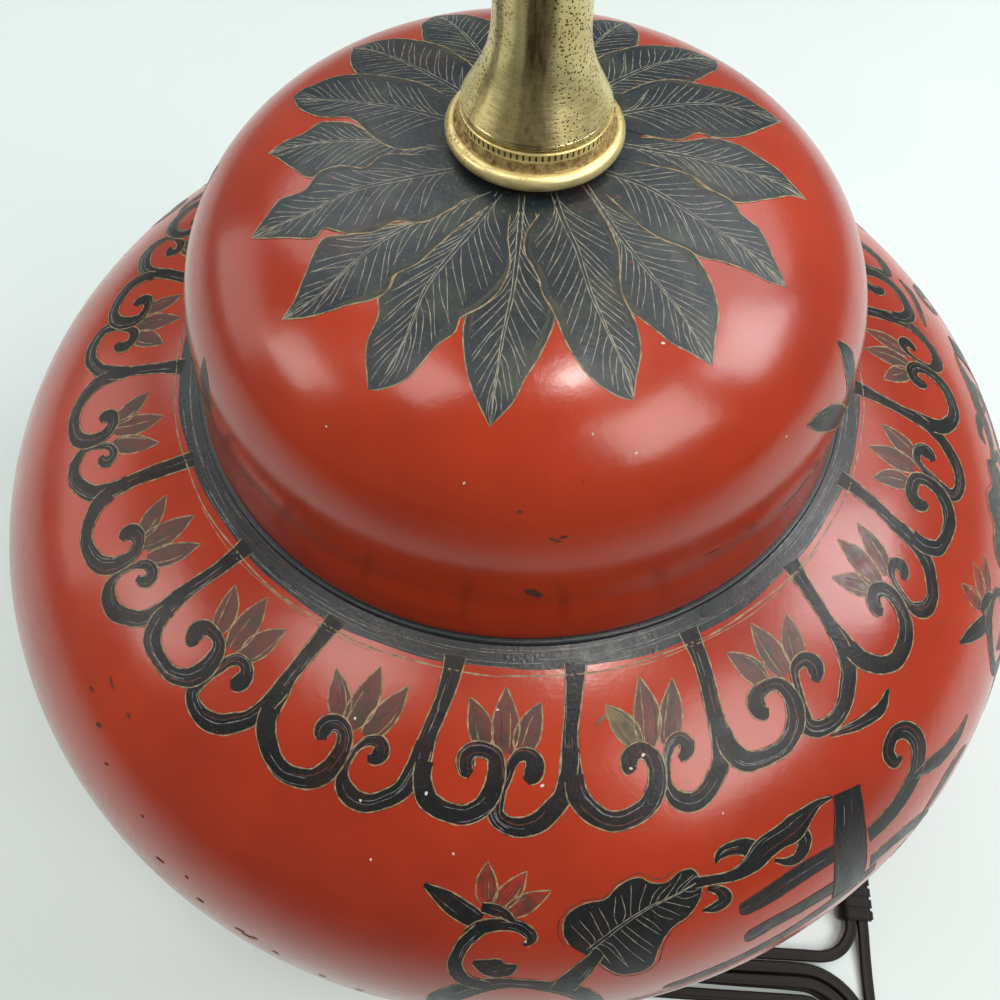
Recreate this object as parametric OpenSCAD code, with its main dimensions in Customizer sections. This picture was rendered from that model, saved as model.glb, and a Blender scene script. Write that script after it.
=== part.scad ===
// Table lamp made from a lacquered ginger jar with a domed lid, on a turned wooden base.
// Z is up and the origin is the centre of the base's underside. All lengths are in millimetres.
// The front, where the switch knob points, is -Y. The harp stands in the XZ plane.

/* [Base] */
// Diameter of the turned wooden base at its foot
base_d = 236; // [216:1:260]
// Height of the wooden base without its felt
base_h = 20.4; // [18:0.1:28]
// Thickness of the felt under the base
felt_t = 1.6; // [1:0.1:3]

/* [Jar] */
// Largest diameter of the jar
jar_d = 364; // [340:1:400]
// Height of the jar from its foot to the ledge that carries the lid
jar_h = 250; // [230:1:280]
// Height of the widest place above the jar's foot
belly_h = 156; // [130:1:170]
// Diameter of the jar's foot
foot_d = 200; // [180:1:212]
// Thickness of the jar's wall
jar_wall = 7; // [5:0.5:10]

/* [Lid] */
// Diameter of the lid at its rim
lid_rim_d = 195; // [190:0.5:204]
// Height of the lid
lid_h = 76; // [66:1:90]
// Height of the lid's straight skirt
skirt_h = 16; // [12:0.5:20]
// How much the skirt draws in on each side from the rim to the dome
skirt_draw = 2.8; // [1.5:0.1:3]
// Thickness of the lid's wall
lid_wall = 5; // [4:0.1:5.4]

/* [Brass neck] */
// Diameter of the beaded seating ring on the lid
seat_ring_d = 42.6; // [41:0.1:44]
// Diameter of the reeded ring above it
reeded_d = 35.6; // [34.6:0.1:36.6]
// Diameter of the neck where it is narrowest
neck_d = 21.2; // [18:0.1:26]
// Height of the flared lower neck
neck_h = 32.4; // [28:0.1:40]
// Height of the upper neck between its collars
upper_neck_h = 29.4; // [24:0.1:50]

/* [Socket and harp] */
// Inner diameter of the screw shell, for a medium base bulb
screw_shell_d = 26.6; // [26:0.1:27]
// Length of the screw shell
screw_shell_h = 24; // [22:0.5:26]
// Height of the harp from its feet to its crown
harp_h = 235; // [200:1:260]
// Width of the harp across its wire
harp_w = 118; // [108:1:130]
// Diameter of the harp's wire
wire_d = 4; // [3.5:0.1:4.4]
// Distance between the two legs of the harp, centre to centre
leg_gap = 57; // [54:0.5:60]

/* [Cord and plug] */
// Width of the flat two-core cord
cord_w = 5.4; // [5:0.1:5.5]
// Thickness of the flat cord
cord_t = 3; // [2.6:0.1:3.1]
// Length of the plug's body
plug_l = 32; // [28:1:36]
// Width of the plug's body
plug_w = 22; // [20:1:24]

/* [Hidden] */
$fn = 96;
// One overrun for every cut
over = 1;
// Clearance of a hole round the rod
rod_clear = 0.4;
// Clearance of a running fit, on the radius
run_clear = 0.06;
// Gap between faces that meet across a joint
joint_gap = 0.3;
// Curve steps of a quarter outline
steps = 28;

// Rod, nut and washer
rod_d = 9.8;
rod_bore = 6.6;
rod_r = rod_d / 2;
hole_r = rod_r + rod_clear;
nut_h = 3.5;
nut_flats = 14.3;
washer_d = 30;
washer_t = 1.6;
rod_foot = 9.4;

// Base: a tall foot edge, a small cove and a seat for the jar, with a recess below
base_r = base_d / 2;
seat_r = foot_d / 2 + 5;
foot_edge = 13;
base_fillet = 2;
seat_h = 3;
recess_r = 34;
recess_h = 15;
felt_in = 4;
jar_z = felt_t + base_h;
cord_angle = -10;
groove_w = 7;
bushing_z = felt_t + foot_edge / 2;
bushing_r = 3.7;
bushing_flange_r = 4.8;
bushing_flange_t = 2;
bushing_out = 20;
bushing_in = 12;
bushing_tip = 0.8;

// Jar: a shoulder and a lower body that follow superellipses
jar_r = jar_d / 2;
foot_r = foot_d / 2;
foot_h = 5;
floor_t = 9;
shoulder_power = 2.67;
lower_power = 2;
ledge_r = lid_rim_d / 2 + 1.5;
ledge_drop = 1.2;
ledge_round = 1;
collar_clear = 0.7;
collar_h = 20;
collar_wall = 7;
collar_r = lid_rim_d / 2 - skirt_draw - lid_wall - collar_clear;
seat_z = jar_z + jar_h;

// Lid
rim_r = lid_rim_d / 2;
waist_r = rim_r - skirt_draw;
dome_power = 2.74;
dome_h = lid_h - skirt_h;
land_r = seat_ring_d / 2 - 3;
land_h = 0.2;
crown_z = seat_z + lid_h;

// Seating ring: a disc with a half-round bead and a raised step
bead_r = 2;
bead_c = seat_ring_d / 2 - bead_r;
bead_z = 3.4;
disc_r = seat_ring_d / 2 - 3;
disc_h = 1.6;
step_r = reeded_d / 2 + 0.8;
step_top_r = reeded_d / 2 + 0.2;
seating_h = 7.2;

// Reeded ring
reeded_h = 2.4;
reeded_r = reeded_d / 2;
reeds = 72;
reed_w = 0.5;
reed_depth = 0.45;
reed_h = 1.7;
reeded_z = crown_z + seating_h;

// Lower neck: a rounded ridge, then a flare that draws in to the neck
neck_z = reeded_z + reeded_h;
ridge_r = 0.9;
ridge_c = reeded_r - ridge_r;
flare_r = reeded_r - 0.5;
flare_z = 2 * ridge_r;
neck_r = neck_d / 2;
flare_pull = 1.5;
flare_rise = 8;
neck_dip = 0.7;
neck_rise = 28;

// Collars and the upper neck
collar_z = neck_z + neck_h;
ring_h = 5;
ring_r = neck_r + 2.6;
groove_r = neck_r - 0.6;
groove_h = 0.8;
upper_z = collar_z + ring_h;
waist_share = 0.62;
upper_foot_r = neck_r + 1.2;
upper_head_r = neck_r - 1.8;
upper_waist_r = neck_r - 3.2;
cap_ring_h = 4;
cap_ring_r = upper_head_r + 3.4;
cap_ring_z = upper_z + upper_neck_h;

// Harp saddle: a brass strap with two arms that end in studs
saddle_z = cap_ring_z + cap_ring_h;
strap_t = 2;
strap_w = 11;
strap_r = 11;
arm_h = 12;
arm_bend = 4;
stud_h = 8;
leg_x = leg_gap / 2;
arm_top_z = saddle_z + strap_t + arm_h;
leg_z = arm_top_z + stud_h;
lock_h = 4;
lock_z = saddle_z + strap_t;

// Socket
cap_z = lock_z + lock_h;
metal_t = 0.7;
hickey_r = 7.4;
hickey_h = 6.5;
cap_r = 17.4;
cap_h = 19.5;
cap_lip_h = 6;
cap_lip_gap = 0.1;
shell_r = cap_r - metal_t - cap_lip_gap;
shell_z = cap_z + cap_h - cap_lip_h;
screw_r = screw_shell_d / 2;
screw_t = 0.5;
screw_flange = 0.8;
core_h = 20;
core_z = shell_z + 0.4;
screw_z = core_z + core_h;
shell_h = core_h + screw_shell_h + 4;
shell_lip = 0.6;
sleeve_t = 0.6;
sleeve_gap = 0.05;
core_r = shell_r - metal_t - sleeve_gap - sleeve_t;
core_waist = 4;
core_waist_h = 8;
screw_hole_r = 1.3;
set_r = 1.7;
set_l = 3;
rod_top = cap_z + hickey_h + 2;

// Centre contact: a disc on a stem in a pocket of the core, which the bulb presses down
contact_r = 4;
contact_t = 0.6;
contact_sink = 1;
contact_stem_r = 1.2;
contact_stem_h = 7;
contact_travel = 1.2;
pocket_clear = 0.8;
pocket_h = 3.4;
stem_z = screw_z - contact_sink - contact_t / 2 - contact_stem_h;

// Terminal screws
terminal_r = 2.6;
terminal_t = 1.4;
terminal_shank_r = 1.4;
terminal_shank_l = 4;
terminal_z = core_z + 7;

// Switch
switch_z = core_z + 13.5;
shaft_r = 1.6;
shaft_in = 9;
shaft_out = 9;
boss_r = 4;
boss_clear = 0.5;
boss_out = 1.8;
knob_r = 5.4;
knob_l = 15;
knob_waist_r = 3.6;
knob_collar_l = 3.5;
knob_round = 1.2;
flutes = 14;
flute_r = 0.7;

// Harp: two legs that spread, rise and close in a crown
wire_r = wire_d / 2;
leg_h = 19;
spread_angle = 20;
spread_bend = 30;
crown_bend = 51;
weld_r = wire_r + 0.06;
weld_gap = 0.15;
wire_fn = 48;
ferrule_l = 14;
ferrule_r = 3.9;
ferrule_lip_r = 4.6;
ferrule_lip_h = 1.4;
disc_top_r = 10;
disc_top_t = 1.4;
hub_r = 5;
hub_h = 5.6;
stud_r = 3.15;
stud_top_h = 10;
harp_side = harp_w / 2 - wire_r;
finial_h = 34;
finial_foot_r = 6.5;
finial_waist_r = 4.4;
finial_tip_r = 2.1;
finial_ball_r = 8.6;
finial_bore_h = stud_top_h + 1;

// Leads inside the lamp
core_wire_r = 1.3;
core_wire_gap = 1.5;
lead_bend = 6;
lead_z = bushing_z;

// Free stretches of the cord, one point after another from the bushing to the coil
lead_route = [
    [136, -24, 8.1], [144, -25.4, 8], [152, -28.5, 6.6], [160, -34, 4.4], [168, -42, 2.6],
    [175, -52, 1.8], [180.5, -64, 1.6], [184.5, -78, 1.6], [186.5, -90, 2.2], [187, -99, 3.4],
    [187, -108, 4.5], [187, -132, 4.5], [187, -141, 3.4], [187, -150, 2.2], [187, -160, 1.6],
    [187, -170, 1.6], [187, -178.6, 1.6]];
tail_route = [
    [158.4, -148, 5.1], [164.4, -148, 5.1], [170.6, -146.6, 4.9], [175.8, -143.2, 4.7],
    [179.4, -138.2, 4.6], [181.2, -132, 4.5], [181.2, -108, 4.5], [180.4, -101, 4.9],
    [177.6, -94.2, 5.8], [172, -88, 6.6], [166, -82, 6.6]];
cord_sides = 8;

// Hank: loops with straight runs, spiralled in and out again in two layers
hank_at = [99, -184];
run_half = 54;
fold_r = 34;
fold_out_r = 36;
fold_in_r = 22.2;
fold_waist_r = 16.3;
spiral_loops = 2;
loop_rings = 24;
layer_z = [1.6, 5.1];
hank_sides = 6;
end_run = 5.4;

// Tie round the two strands
tie_at = [184.1, -110];
tie_laps = 4;
tie_pitch = 5.2;
tie_t = 2.6;
tie_core_t = 1.7;
tie_clear = 0.2;
tie_span = 5.8;
tie_z = 4.5;
tie_rib = 3.6;

// Plug
plug_at = [166, -82];
plug_turn = 135;
plug_t = 13;
plug_neck_w = 11;
plug_round = 3;
plug_chamfer = 1.5;
grip_ribs = 4;
grip_w = 1.4;
grip_pitch = 3.2;
grip_depth = 0.8;
blade_l = 16;
blade_w = 6.3;
blade_t = 1.5;
blade_gap = 12.7;
blade_in = 6;
blade_hole_r = 1.6;
plug_low = 0.1;

// A quarter of a superellipse from the side to the top, as [radius, height] points
function quarter(r, h, power, low, high) = [
    for (i = [0:steps]) let (a = low + (high - low) * i / steps)
        [r * pow(cos(a), 2 / power), h * pow(sin(a), 2 / power)]];

// Height of the virtual crown of a quarter that passes through a given radius and height
function crown(r, power, at_r, at_h) = at_h / pow(1 - pow(at_r / r, power), 1 / power);

// Parameter at which a quarter reaches a given radius
function reach(r, power, at_r) = acos(pow(at_r / r, power / 2));

// A point of a cubic curve
function cubic(a, b, c, d, t) =
    a * pow(1 - t, 3) + 3 * b * t * pow(1 - t, 2) + 3 * c * t * t * (1 - t) + d * pow(t, 3);
function cubic_curve(a, b, c, d, n) = [for (i = [0:n]) cubic(a, b, c, d, i / n)];

function lift(points, z) = [for (p = points) [p[0], p[1] + z]];
function flip(points, z) = [for (p = points) [p[0], z - p[1]]];
function back(points) = [for (i = [len(points) - 1:-1:0]) points[i]];

// Rounded quarter from one outline direction to the next
function arc(c, r, from, to, n) = [
    for (i = [0:n]) let (a = from + (to - from) * i / n) c + r * [cos(a), sin(a)]];

module ring(r, inner, h, z) {
    translate([0, 0, z]) difference() {
        cylinder(r = r, h = h);
        translate([0, 0, -over]) cylinder(r = inner, h = h + 2 * over);
    }
}

module hex_nut(flats, h, z) {
    translate([0, 0, z]) difference() {
        cylinder(d = flats / cos(30), h = h, $fn = 6);
        translate([0, 0, -over]) cylinder(r = rod_r, h = h + 2 * over);
    }
}

module felt_pad() {
    color("darkgreen") ring(base_r - felt_in, recess_r / 2, felt_t, 0);
}

// Outline of the turned base: rounded foot, quarter cove, seat
function base_outline() = let (
        cove_h = base_h - foot_edge - seat_h,
        cove_w = base_r - seat_r - base_fillet)
    concat(
        [[hole_r, 0], [base_r - base_fillet, 0]],
        arc([base_r - base_fillet, base_fillet], base_fillet, -90, 0, 6),
        arc([base_r - base_fillet, foot_edge - base_fillet], base_fillet, 0, 90, 6),
        [for (i = [0:12]) [base_r - base_fillet - cove_w * sin(7.5 * i),
                           foot_edge + cove_h * (1 - cos(7.5 * i))]],
        [[seat_r, base_h - seat_h]],
        arc([seat_r - base_fillet, base_h - base_fillet], base_fillet, 0, 90, 6),
        [[hole_r, base_h]]);

module base_plinth() {
    groove_top = bushing_z - felt_t + groove_w / 2;
    color("saddlebrown") difference() {
        translate([0, 0, felt_t]) rotate_extrude() polygon(base_outline());
        translate([0, 0, felt_t - over]) cylinder(r = recess_r, h = recess_h + over);
        rotate([0, 0, cord_angle]) translate([base_r - bushing_in, 0, bushing_z]) rotate([0, 90, 0])
            cylinder(r = bushing_r, h = bushing_in + over);
        rotate([0, 0, cord_angle]) translate([recess_r - groove_w, -groove_w / 2, felt_t - over])
            cube([base_r - bushing_in - recess_r + groove_w, groove_w, groove_top + over]);
    }
}

module base_washer() {
    color("silver") ring(washer_d / 2, hole_r, washer_t, felt_t + recess_h - washer_t);
}

module base_nut() {
    color("silver") hex_nut(nut_flats, nut_h, felt_t + recess_h - washer_t - nut_h);
}

module centre_rod() {
    color("goldenrod") ring(rod_r, rod_bore / 2, rod_top - felt_t - rod_foot, felt_t + rod_foot);
}

// Tapered strain relief, seated in the side of the base
module cord_bushing() {
    x0 = base_r - bushing_in;
    tip_r = cord_w / 2 + bushing_tip;
    color("dimgray") rotate([0, 0, cord_angle]) translate([0, 0, bushing_z]) difference() {
        rotate([0, 90, 0]) rotate_extrude() polygon([
            [0, x0], [bushing_r, x0], [bushing_r, base_r],
            [bushing_flange_r, base_r], [bushing_flange_r, base_r + bushing_flange_t],
            [bushing_r, base_r + bushing_flange_t], [tip_r, base_r + bushing_out],
            [0, base_r + bushing_out]]);
        translate([x0 - over, -cord_w / 2, -cord_t / 2])
            cube([bushing_in - bushing_tip + over, cord_w, cord_t]);
    }
}

// Jar: outer line from foot to ledge, collar, then the inner line back to the floor
module jar_body() {
    shoulder_h = jar_h - belly_h - ledge_drop;
    outer_crown = crown(jar_r, shoulder_power, ledge_r, shoulder_h);
    outer_low = crown(jar_r, lower_power, foot_r, belly_h - foot_h);
    in_r = jar_r - jar_wall;
    mouth_r = collar_r - collar_wall;
    foot_in = foot_r - jar_wall;
    inner_crown = crown(in_r, shoulder_power, mouth_r, jar_h - belly_h - jar_wall);
    inner_low = crown(in_r, lower_power, foot_in, belly_h - floor_t);
    outer_up = quarter(jar_r, outer_crown, shoulder_power, 0, reach(jar_r, shoulder_power, ledge_r));
    outer_down = quarter(jar_r, outer_low, lower_power, 0, reach(jar_r, lower_power, foot_r));
    inner_up = quarter(in_r, inner_crown, shoulder_power, 0, reach(in_r, shoulder_power, mouth_r));
    inner_down = quarter(in_r, inner_low, lower_power, 0, reach(in_r, lower_power, foot_in));
    color("firebrick") translate([0, 0, jar_z]) rotate_extrude() polygon(concat(
        [[hole_r, 0], [foot_r, 0]],
        back(flip(outer_down, belly_h)),
        [for (i = [1:steps]) outer_up[i] + [0, belly_h]],
        arc([ledge_r - ledge_round, jar_h - ledge_round], ledge_round, 0, 90, 4),
        [[collar_r, jar_h], [collar_r, jar_h + collar_h], [mouth_r, jar_h + collar_h]],
        back(lift(inner_up, belly_h)),
        [for (i = [1:steps]) [inner_down[i][0], belly_h - inner_down[i][1]]],
        [[hole_r, floor_t]]));
}

// Lid: a slightly drawn-in skirt under a full dome, with a flat land for the brass
module jar_lid() {
    in_r = waist_r - lid_wall;
    outer = quarter(waist_r, dome_h, dome_power, 0, reach(waist_r, dome_power, land_r));
    inner = quarter(in_r, dome_h - lid_wall, dome_power, 0, reach(in_r, dome_power, hole_r));
    top = dome_h * pow(1 - pow(land_r / waist_r, dome_power), 1 / dome_power) + skirt_h;
    color("firebrick") translate([0, 0, seat_z]) rotate_extrude() polygon(concat(
        [[rim_r - lid_wall, 0], [rim_r, 0]],
        lift(outer, skirt_h),
        [[land_r, max(lid_h, top)], [hole_r, max(lid_h, top)]],
        back(lift(inner, skirt_h))));
}

// Seating ring: disc, half-round bead and the step that carries the reeded ring
module seating_ring() {
    color("goldenrod") translate([0, 0, crown_z]) rotate_extrude() polygon(concat(
        [[hole_r, 0], [disc_r, 0], [disc_r, disc_h]],
        arc([bead_c, bead_z], bead_r, -100, acos((step_r - bead_c) / bead_r), 24),
        [[step_top_r, seating_h], [hole_r, seating_h]]));
}

module reeded_ring() {
    color("goldenrod") difference() {
        ring(reeded_r, hole_r, reeded_h, reeded_z);
        for (i = [0:reeds - 1]) rotate([0, 0, i * 360 / reeds])
            translate([reeded_r - reed_depth, -reed_w / 2, reeded_z + reeded_h - reed_h])
                cube([reed_depth + over, reed_w, reed_h + over]);
    }
}

// Flared neck: ridge at the foot, a bell that draws in, and a straight rise
module neck_spindle() {
    flare = cubic_curve([flare_r, flare_z], [flare_r - flare_pull, flare_z + flare_rise],
        [neck_r - neck_dip, neck_h - neck_rise], [neck_r, neck_h], 24);
    color("goldenrod") translate([0, 0, neck_z]) rotate_extrude() polygon(concat(
        [[hole_r, 0], [ridge_c, 0]],
        arc([ridge_c, ridge_r], ridge_r, -90, 90, 10),
        flare,
        [[hole_r, neck_h]]));
}

// Rounded collar over a narrow groove
module lower_collar() {
    bead = (ring_h - groove_h) / 2;
    color("goldenrod") translate([0, 0, collar_z]) rotate_extrude() polygon(concat(
        [[hole_r, 0], [groove_r, 0], [groove_r, groove_h]],
        arc([ring_r - bead, ring_h - bead], bead, -90, 90, 12),
        [[hole_r, ring_h]]));
}

// Upper neck: a slim baluster
module upper_neck() {
    waist_z = upper_neck_h * waist_share;
    low = cubic_curve([upper_foot_r, 0], [upper_foot_r, waist_z / 3],
        [upper_waist_r, waist_z / 2], [upper_waist_r, waist_z], 14);
    high = cubic_curve([upper_waist_r, waist_z], [upper_waist_r, (waist_z + upper_neck_h) / 2],
        [upper_head_r, (waist_z + upper_neck_h) / 2], [upper_head_r, upper_neck_h], 12);
    color("goldenrod") translate([0, 0, upper_z]) rotate_extrude() polygon(concat(
        [[hole_r, 0]], low, [for (i = [1:12]) high[i]], [[hole_r, upper_neck_h]]));
}

module upper_collar() {
    bead = cap_ring_h / 2;
    color("goldenrod") translate([0, 0, cap_ring_z]) rotate_extrude() polygon(concat(
        [[hole_r, 0]],
        arc([cap_ring_r - bead, bead], bead, -90, 90, 12),
        [[hole_r, cap_ring_h]]));
}

// Saddle: strap with a round eye, two bent arms and a stud on each
module harp_saddle() {
    color("goldenrod") {
        difference() {
            union() {
                translate([0, 0, saddle_z]) cylinder(r = strap_r, h = strap_t);
                translate([-(leg_x - arm_bend), -strap_w / 2, saddle_z])
                    cube([2 * (leg_x - arm_bend), strap_w, strap_t]);
                for (side = [-1, 1]) saddle_arm(side);
            }
            translate([0, 0, saddle_z - over]) cylinder(r = hole_r, h = strap_t + 2 * over);
        }
    }
}

// One arm: a quarter bend, a flat rise and a round stud
module saddle_arm(side) {
    inner = arm_bend - strap_t / 2;
    outer = arm_bend + strap_t / 2;
    mirror([side < 0 ? 1 : 0, 0, 0]) {
        translate([leg_x - arm_bend, strap_w / 2, saddle_z + outer]) rotate([90, 0, 0])
            linear_extrude(strap_w) intersection() {
                difference() {
                    circle(r = outer);
                    circle(r = inner);
                }
                translate([0, -outer]) square(outer);
            }
        translate([leg_x - strap_t / 2, -strap_w / 2, saddle_z + outer])
            cube([strap_t, strap_w, arm_h + strap_t - outer]);
        translate([leg_x, 0, saddle_z + arm_h]) cylinder(r = wire_r, h = strap_t + stud_h);
    }
}

module lock_nut() {
    color("goldenrod") hex_nut(nut_flats, lock_h, lock_z);
}

// Socket cap: a threaded neck that opens into a bowl with a straight lip
module socket_cap() {
    bowl = cubic_curve([hickey_r, hickey_h], [hickey_r + metal_t, hickey_h + metal_t],
        [cap_r, hickey_h + metal_t], [cap_r, cap_h - cap_lip_h], 14);
    color("goldenrod") difference() {
        translate([0, 0, cap_z]) rotate_extrude() polygon(concat(
            [[rod_r, 0], [hickey_r, 0]],
            bowl,
            [[cap_r, cap_h], [cap_r - metal_t, cap_h], [cap_r - metal_t, cap_h - cap_lip_h]],
            back([for (p = bowl) [max(p[0] - metal_t, rod_r), p[1] + metal_t]]),
            [[rod_r, hickey_h + metal_t]]));
        translate([0, 0, cap_z + hickey_h / 2]) rotate([0, 90, 0])
            cylinder(r = set_r, h = hickey_r + over);
    }
}

module set_screw() {
    color("silver")
        translate([hickey_r - set_l + over / 2, 0, cap_z + hickey_h / 2]) rotate([0, 90, 0])
        difference() {
            cylinder(r = set_r, h = set_l);
            translate([-set_r - over, -metal_t / 2, set_l - over])
                cube([2 * (set_r + over), metal_t, 2 * over]);
        }
}

// Outer shell with a rolled mouth and a keyhole for the switch
module socket_shell() {
    color("goldenrod") difference() {
        translate([0, 0, shell_z]) rotate_extrude() polygon([
            [shell_r - metal_t, 0], [shell_r, 0], [shell_r, shell_h - 2 * shell_lip],
            [shell_r + shell_lip, shell_h - shell_lip], [shell_r, shell_h],
            [shell_r - metal_t, shell_h]]);
        translate([0, 0, switch_z]) rotate([90, 0, 0])
            cylinder(r = boss_r + boss_clear, h = shell_r + 2 * shell_lip + over);
    }
}

module insulating_sleeve() {
    outer = shell_r - metal_t - sleeve_gap;
    color("tan") difference() {
        ring(outer, outer - sleeve_t, shell_h - 2 * shell_lip, shell_z + shell_lip);
        translate([0, 0, switch_z]) rotate([90, 0, 0])
            cylinder(r = boss_r + boss_clear, h = shell_r + over);
    }
}

// Moulded core: waisted for the terminals, with a boss for the switch
module socket_core() {
    body_r = core_r;
    color("black") difference() {
        union() {
            translate([0, 0, core_z]) cylinder(r = body_r, h = core_h);
            translate([0, 0, switch_z]) rotate([90, 0, 0])
                cylinder(r = boss_r, h = shell_r + boss_out);
        }
        for (side = [-1, 1]) translate([side * (body_r - core_waist / 2 + over / 2), 0, terminal_z])
            cube([core_waist + over, 2 * body_r, core_waist_h], center = true);
        translate([0, 0, switch_z]) rotate([90, 0, 0])
            translate([0, 0, shell_r + boss_out - shaft_in - over])
                cylinder(r = shaft_r + run_clear, h = shaft_in + 2 * over);
        translate([0, 0, screw_z - pocket_h])
            cylinder(r = contact_r + pocket_clear, h = pocket_h + over);
        translate([0, 0, stem_z - contact_travel - joint_gap])
            cylinder(r = contact_stem_r + run_clear, h = contact_stem_h);
        for (side = [-1, 1])
            translate([side * (body_r - core_waist), 0, terminal_z]) rotate([0, -side * 90, 0])
                translate([0, 0, -over]) cylinder(r = terminal_shank_r, h = terminal_shank_l + over);
    }
}

module screw_shell() {
    color("goldenrod") translate([0, 0, screw_z]) rotate_extrude() polygon([
        [screw_r, 0], [screw_r + screw_t, 0], [screw_r + screw_t, screw_shell_h - screw_flange],
        [screw_r + screw_flange, screw_shell_h], [screw_r, screw_shell_h]]);
}

module centre_contact() {
    color("goldenrod") union() {
        translate([0, 0, screw_z - contact_sink - contact_t]) cylinder(r = contact_r, h = contact_t);
        translate([0, 0, stem_z]) cylinder(r = contact_stem_r, h = contact_stem_h);
    }
}

module terminal_screws() {
    seat = core_r - core_waist;
    color("silver") for (side = [-1, 1])
        translate([side * seat, 0, terminal_z]) rotate([0, side * 90, 0]) {
            cylinder(r = terminal_r, h = terminal_t);
            translate([0, 0, -terminal_shank_l])
                cylinder(r = terminal_shank_r, h = terminal_shank_l);
        }
}

// Turn knob: waisted collar and a fluted grip, on the front of the socket
module switch_knob() {
    front = shell_r + boss_out + joint_gap;
    color("black") translate([0, -front, switch_z]) rotate([90, 0, 0]) difference() {
        rotate_extrude() polygon(concat(
            [[0, 0], [knob_waist_r, 0], [knob_waist_r, knob_collar_l],
                [knob_r, knob_collar_l + knob_round]],
            arc([knob_r - knob_round, knob_l - knob_round], knob_round, 0, 90, 6),
            [[0, knob_l]]));
        for (i = [0:flutes - 1]) rotate([0, 0, i * 360 / flutes])
            translate([knob_r, 0, knob_collar_l]) cylinder(r = flute_r, h = knob_l, $fn = 24);
        translate([0, 0, -over]) cylinder(r = shaft_r, h = shaft_out + over);
    }
}

module switch_shaft() {
    front = shell_r + boss_out + joint_gap;
    color("goldenrod") translate([0, -front + shaft_in, switch_z]) rotate([90, 0, 0])
        cylinder(r = shaft_r, h = shaft_in + shaft_out);
}

// Harp wire: two mirrored sides and the run across the crown
module harp_bow() {
    flat = harp_side - crown_bend;
    color("goldenrod") union() {
        for (side = [0, 1]) mirror([side, 0, 0]) harp_half();
        translate([-flat + weld_gap, 0, leg_z + joint_gap + harp_h]) rotate([0, 90, 0])
            cylinder(r = wire_r, h = 2 * (flat - weld_gap), $fn = wire_fn);
    }
}

// One side: leg, bend out, slope, bend back, rise and quarter crown, each joined by a ball
module harp_half() {
    z0 = leg_z + joint_gap;
    bend_x = spread_bend * (1 - cos(spread_angle));
    bend_z = spread_bend * sin(spread_angle);
    slope_l = (harp_side - leg_x - 2 * bend_x) / sin(spread_angle);
    slope_z = z0 + leg_h + bend_z;
    rise_z = slope_z + slope_l * cos(spread_angle) + bend_z;
    crown_c = z0 + harp_h - crown_bend;
    translate([leg_x, 0, z0]) cylinder(r = wire_r, h = leg_h - weld_gap, $fn = wire_fn);
    weld(leg_x, z0 + leg_h);
    wire_bend(leg_x + spread_bend, z0 + leg_h, spread_bend, 180 - spread_angle, spread_angle);
    weld(leg_x + bend_x, slope_z);
    translate([leg_x + bend_x, 0, slope_z]) rotate([0, spread_angle, 0]) wire_run(slope_l);
    weld(harp_side - bend_x, rise_z - bend_z);
    wire_bend(harp_side - spread_bend, rise_z, spread_bend, -spread_angle, spread_angle);
    weld(harp_side, rise_z);
    translate([harp_side, 0, rise_z]) wire_run(crown_c - rise_z);
    weld(harp_side, crown_c);
    wire_bend(harp_side - crown_bend, crown_c, crown_bend, 0, 90);
    weld(harp_side - crown_bend, z0 + harp_h);
}

module wire_run(l) {
    translate([0, 0, weld_gap]) cylinder(r = wire_r, h = l - 2 * weld_gap, $fn = wire_fn);
}

module wire_bend(x, z, r, from, angle) {
    translate([x, 0, z]) rotate([90, 0, 0]) rotate([0, 0, from]) rotate_extrude(angle = angle)
        translate([r, 0]) circle(r = wire_r, $fn = wire_fn);
}

module weld(x, z) {
    translate([x, 0, z]) sphere(r = weld_r, $fn = wire_fn);
}

// Stud that the shade's ring sits round, with its seat and the hub that grips the wire
module harp_stud() {
    hub_z = leg_z + joint_gap + harp_h - hub_h / 2;
    color("goldenrod") difference() {
        union() {
            translate([0, 0, hub_z]) cylinder(r = hub_r, h = hub_h);
            translate([0, 0, hub_z + hub_h]) cylinder(r = disc_top_r, h = disc_top_t);
            translate([0, 0, hub_z + hub_h + disc_top_t]) cylinder(r = stud_r, h = stud_top_h);
        }
        translate([-hub_r - over, 0, leg_z + joint_gap + harp_h]) rotate([0, 90, 0])
            cylinder(r = wire_r, h = 2 * (hub_r + over));
    }
}

// Sleeve that locks a leg of the harp onto its stud
module harp_ferrule(side) {
    color("goldenrod") translate([side * leg_x, 0, arm_top_z + joint_gap]) rotate_extrude() polygon([
        [wire_r + run_clear, 0], [ferrule_lip_r, 0], [ferrule_lip_r, ferrule_lip_h],
        [ferrule_r, ferrule_lip_h + metal_t], [ferrule_r, ferrule_l - metal_t],
        [ferrule_r - metal_t, ferrule_l], [wire_r + run_clear, ferrule_l]]);
}
module harp_ferrule_left() { harp_ferrule(-1); }
module harp_ferrule_right() { harp_ferrule(1); }

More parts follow.
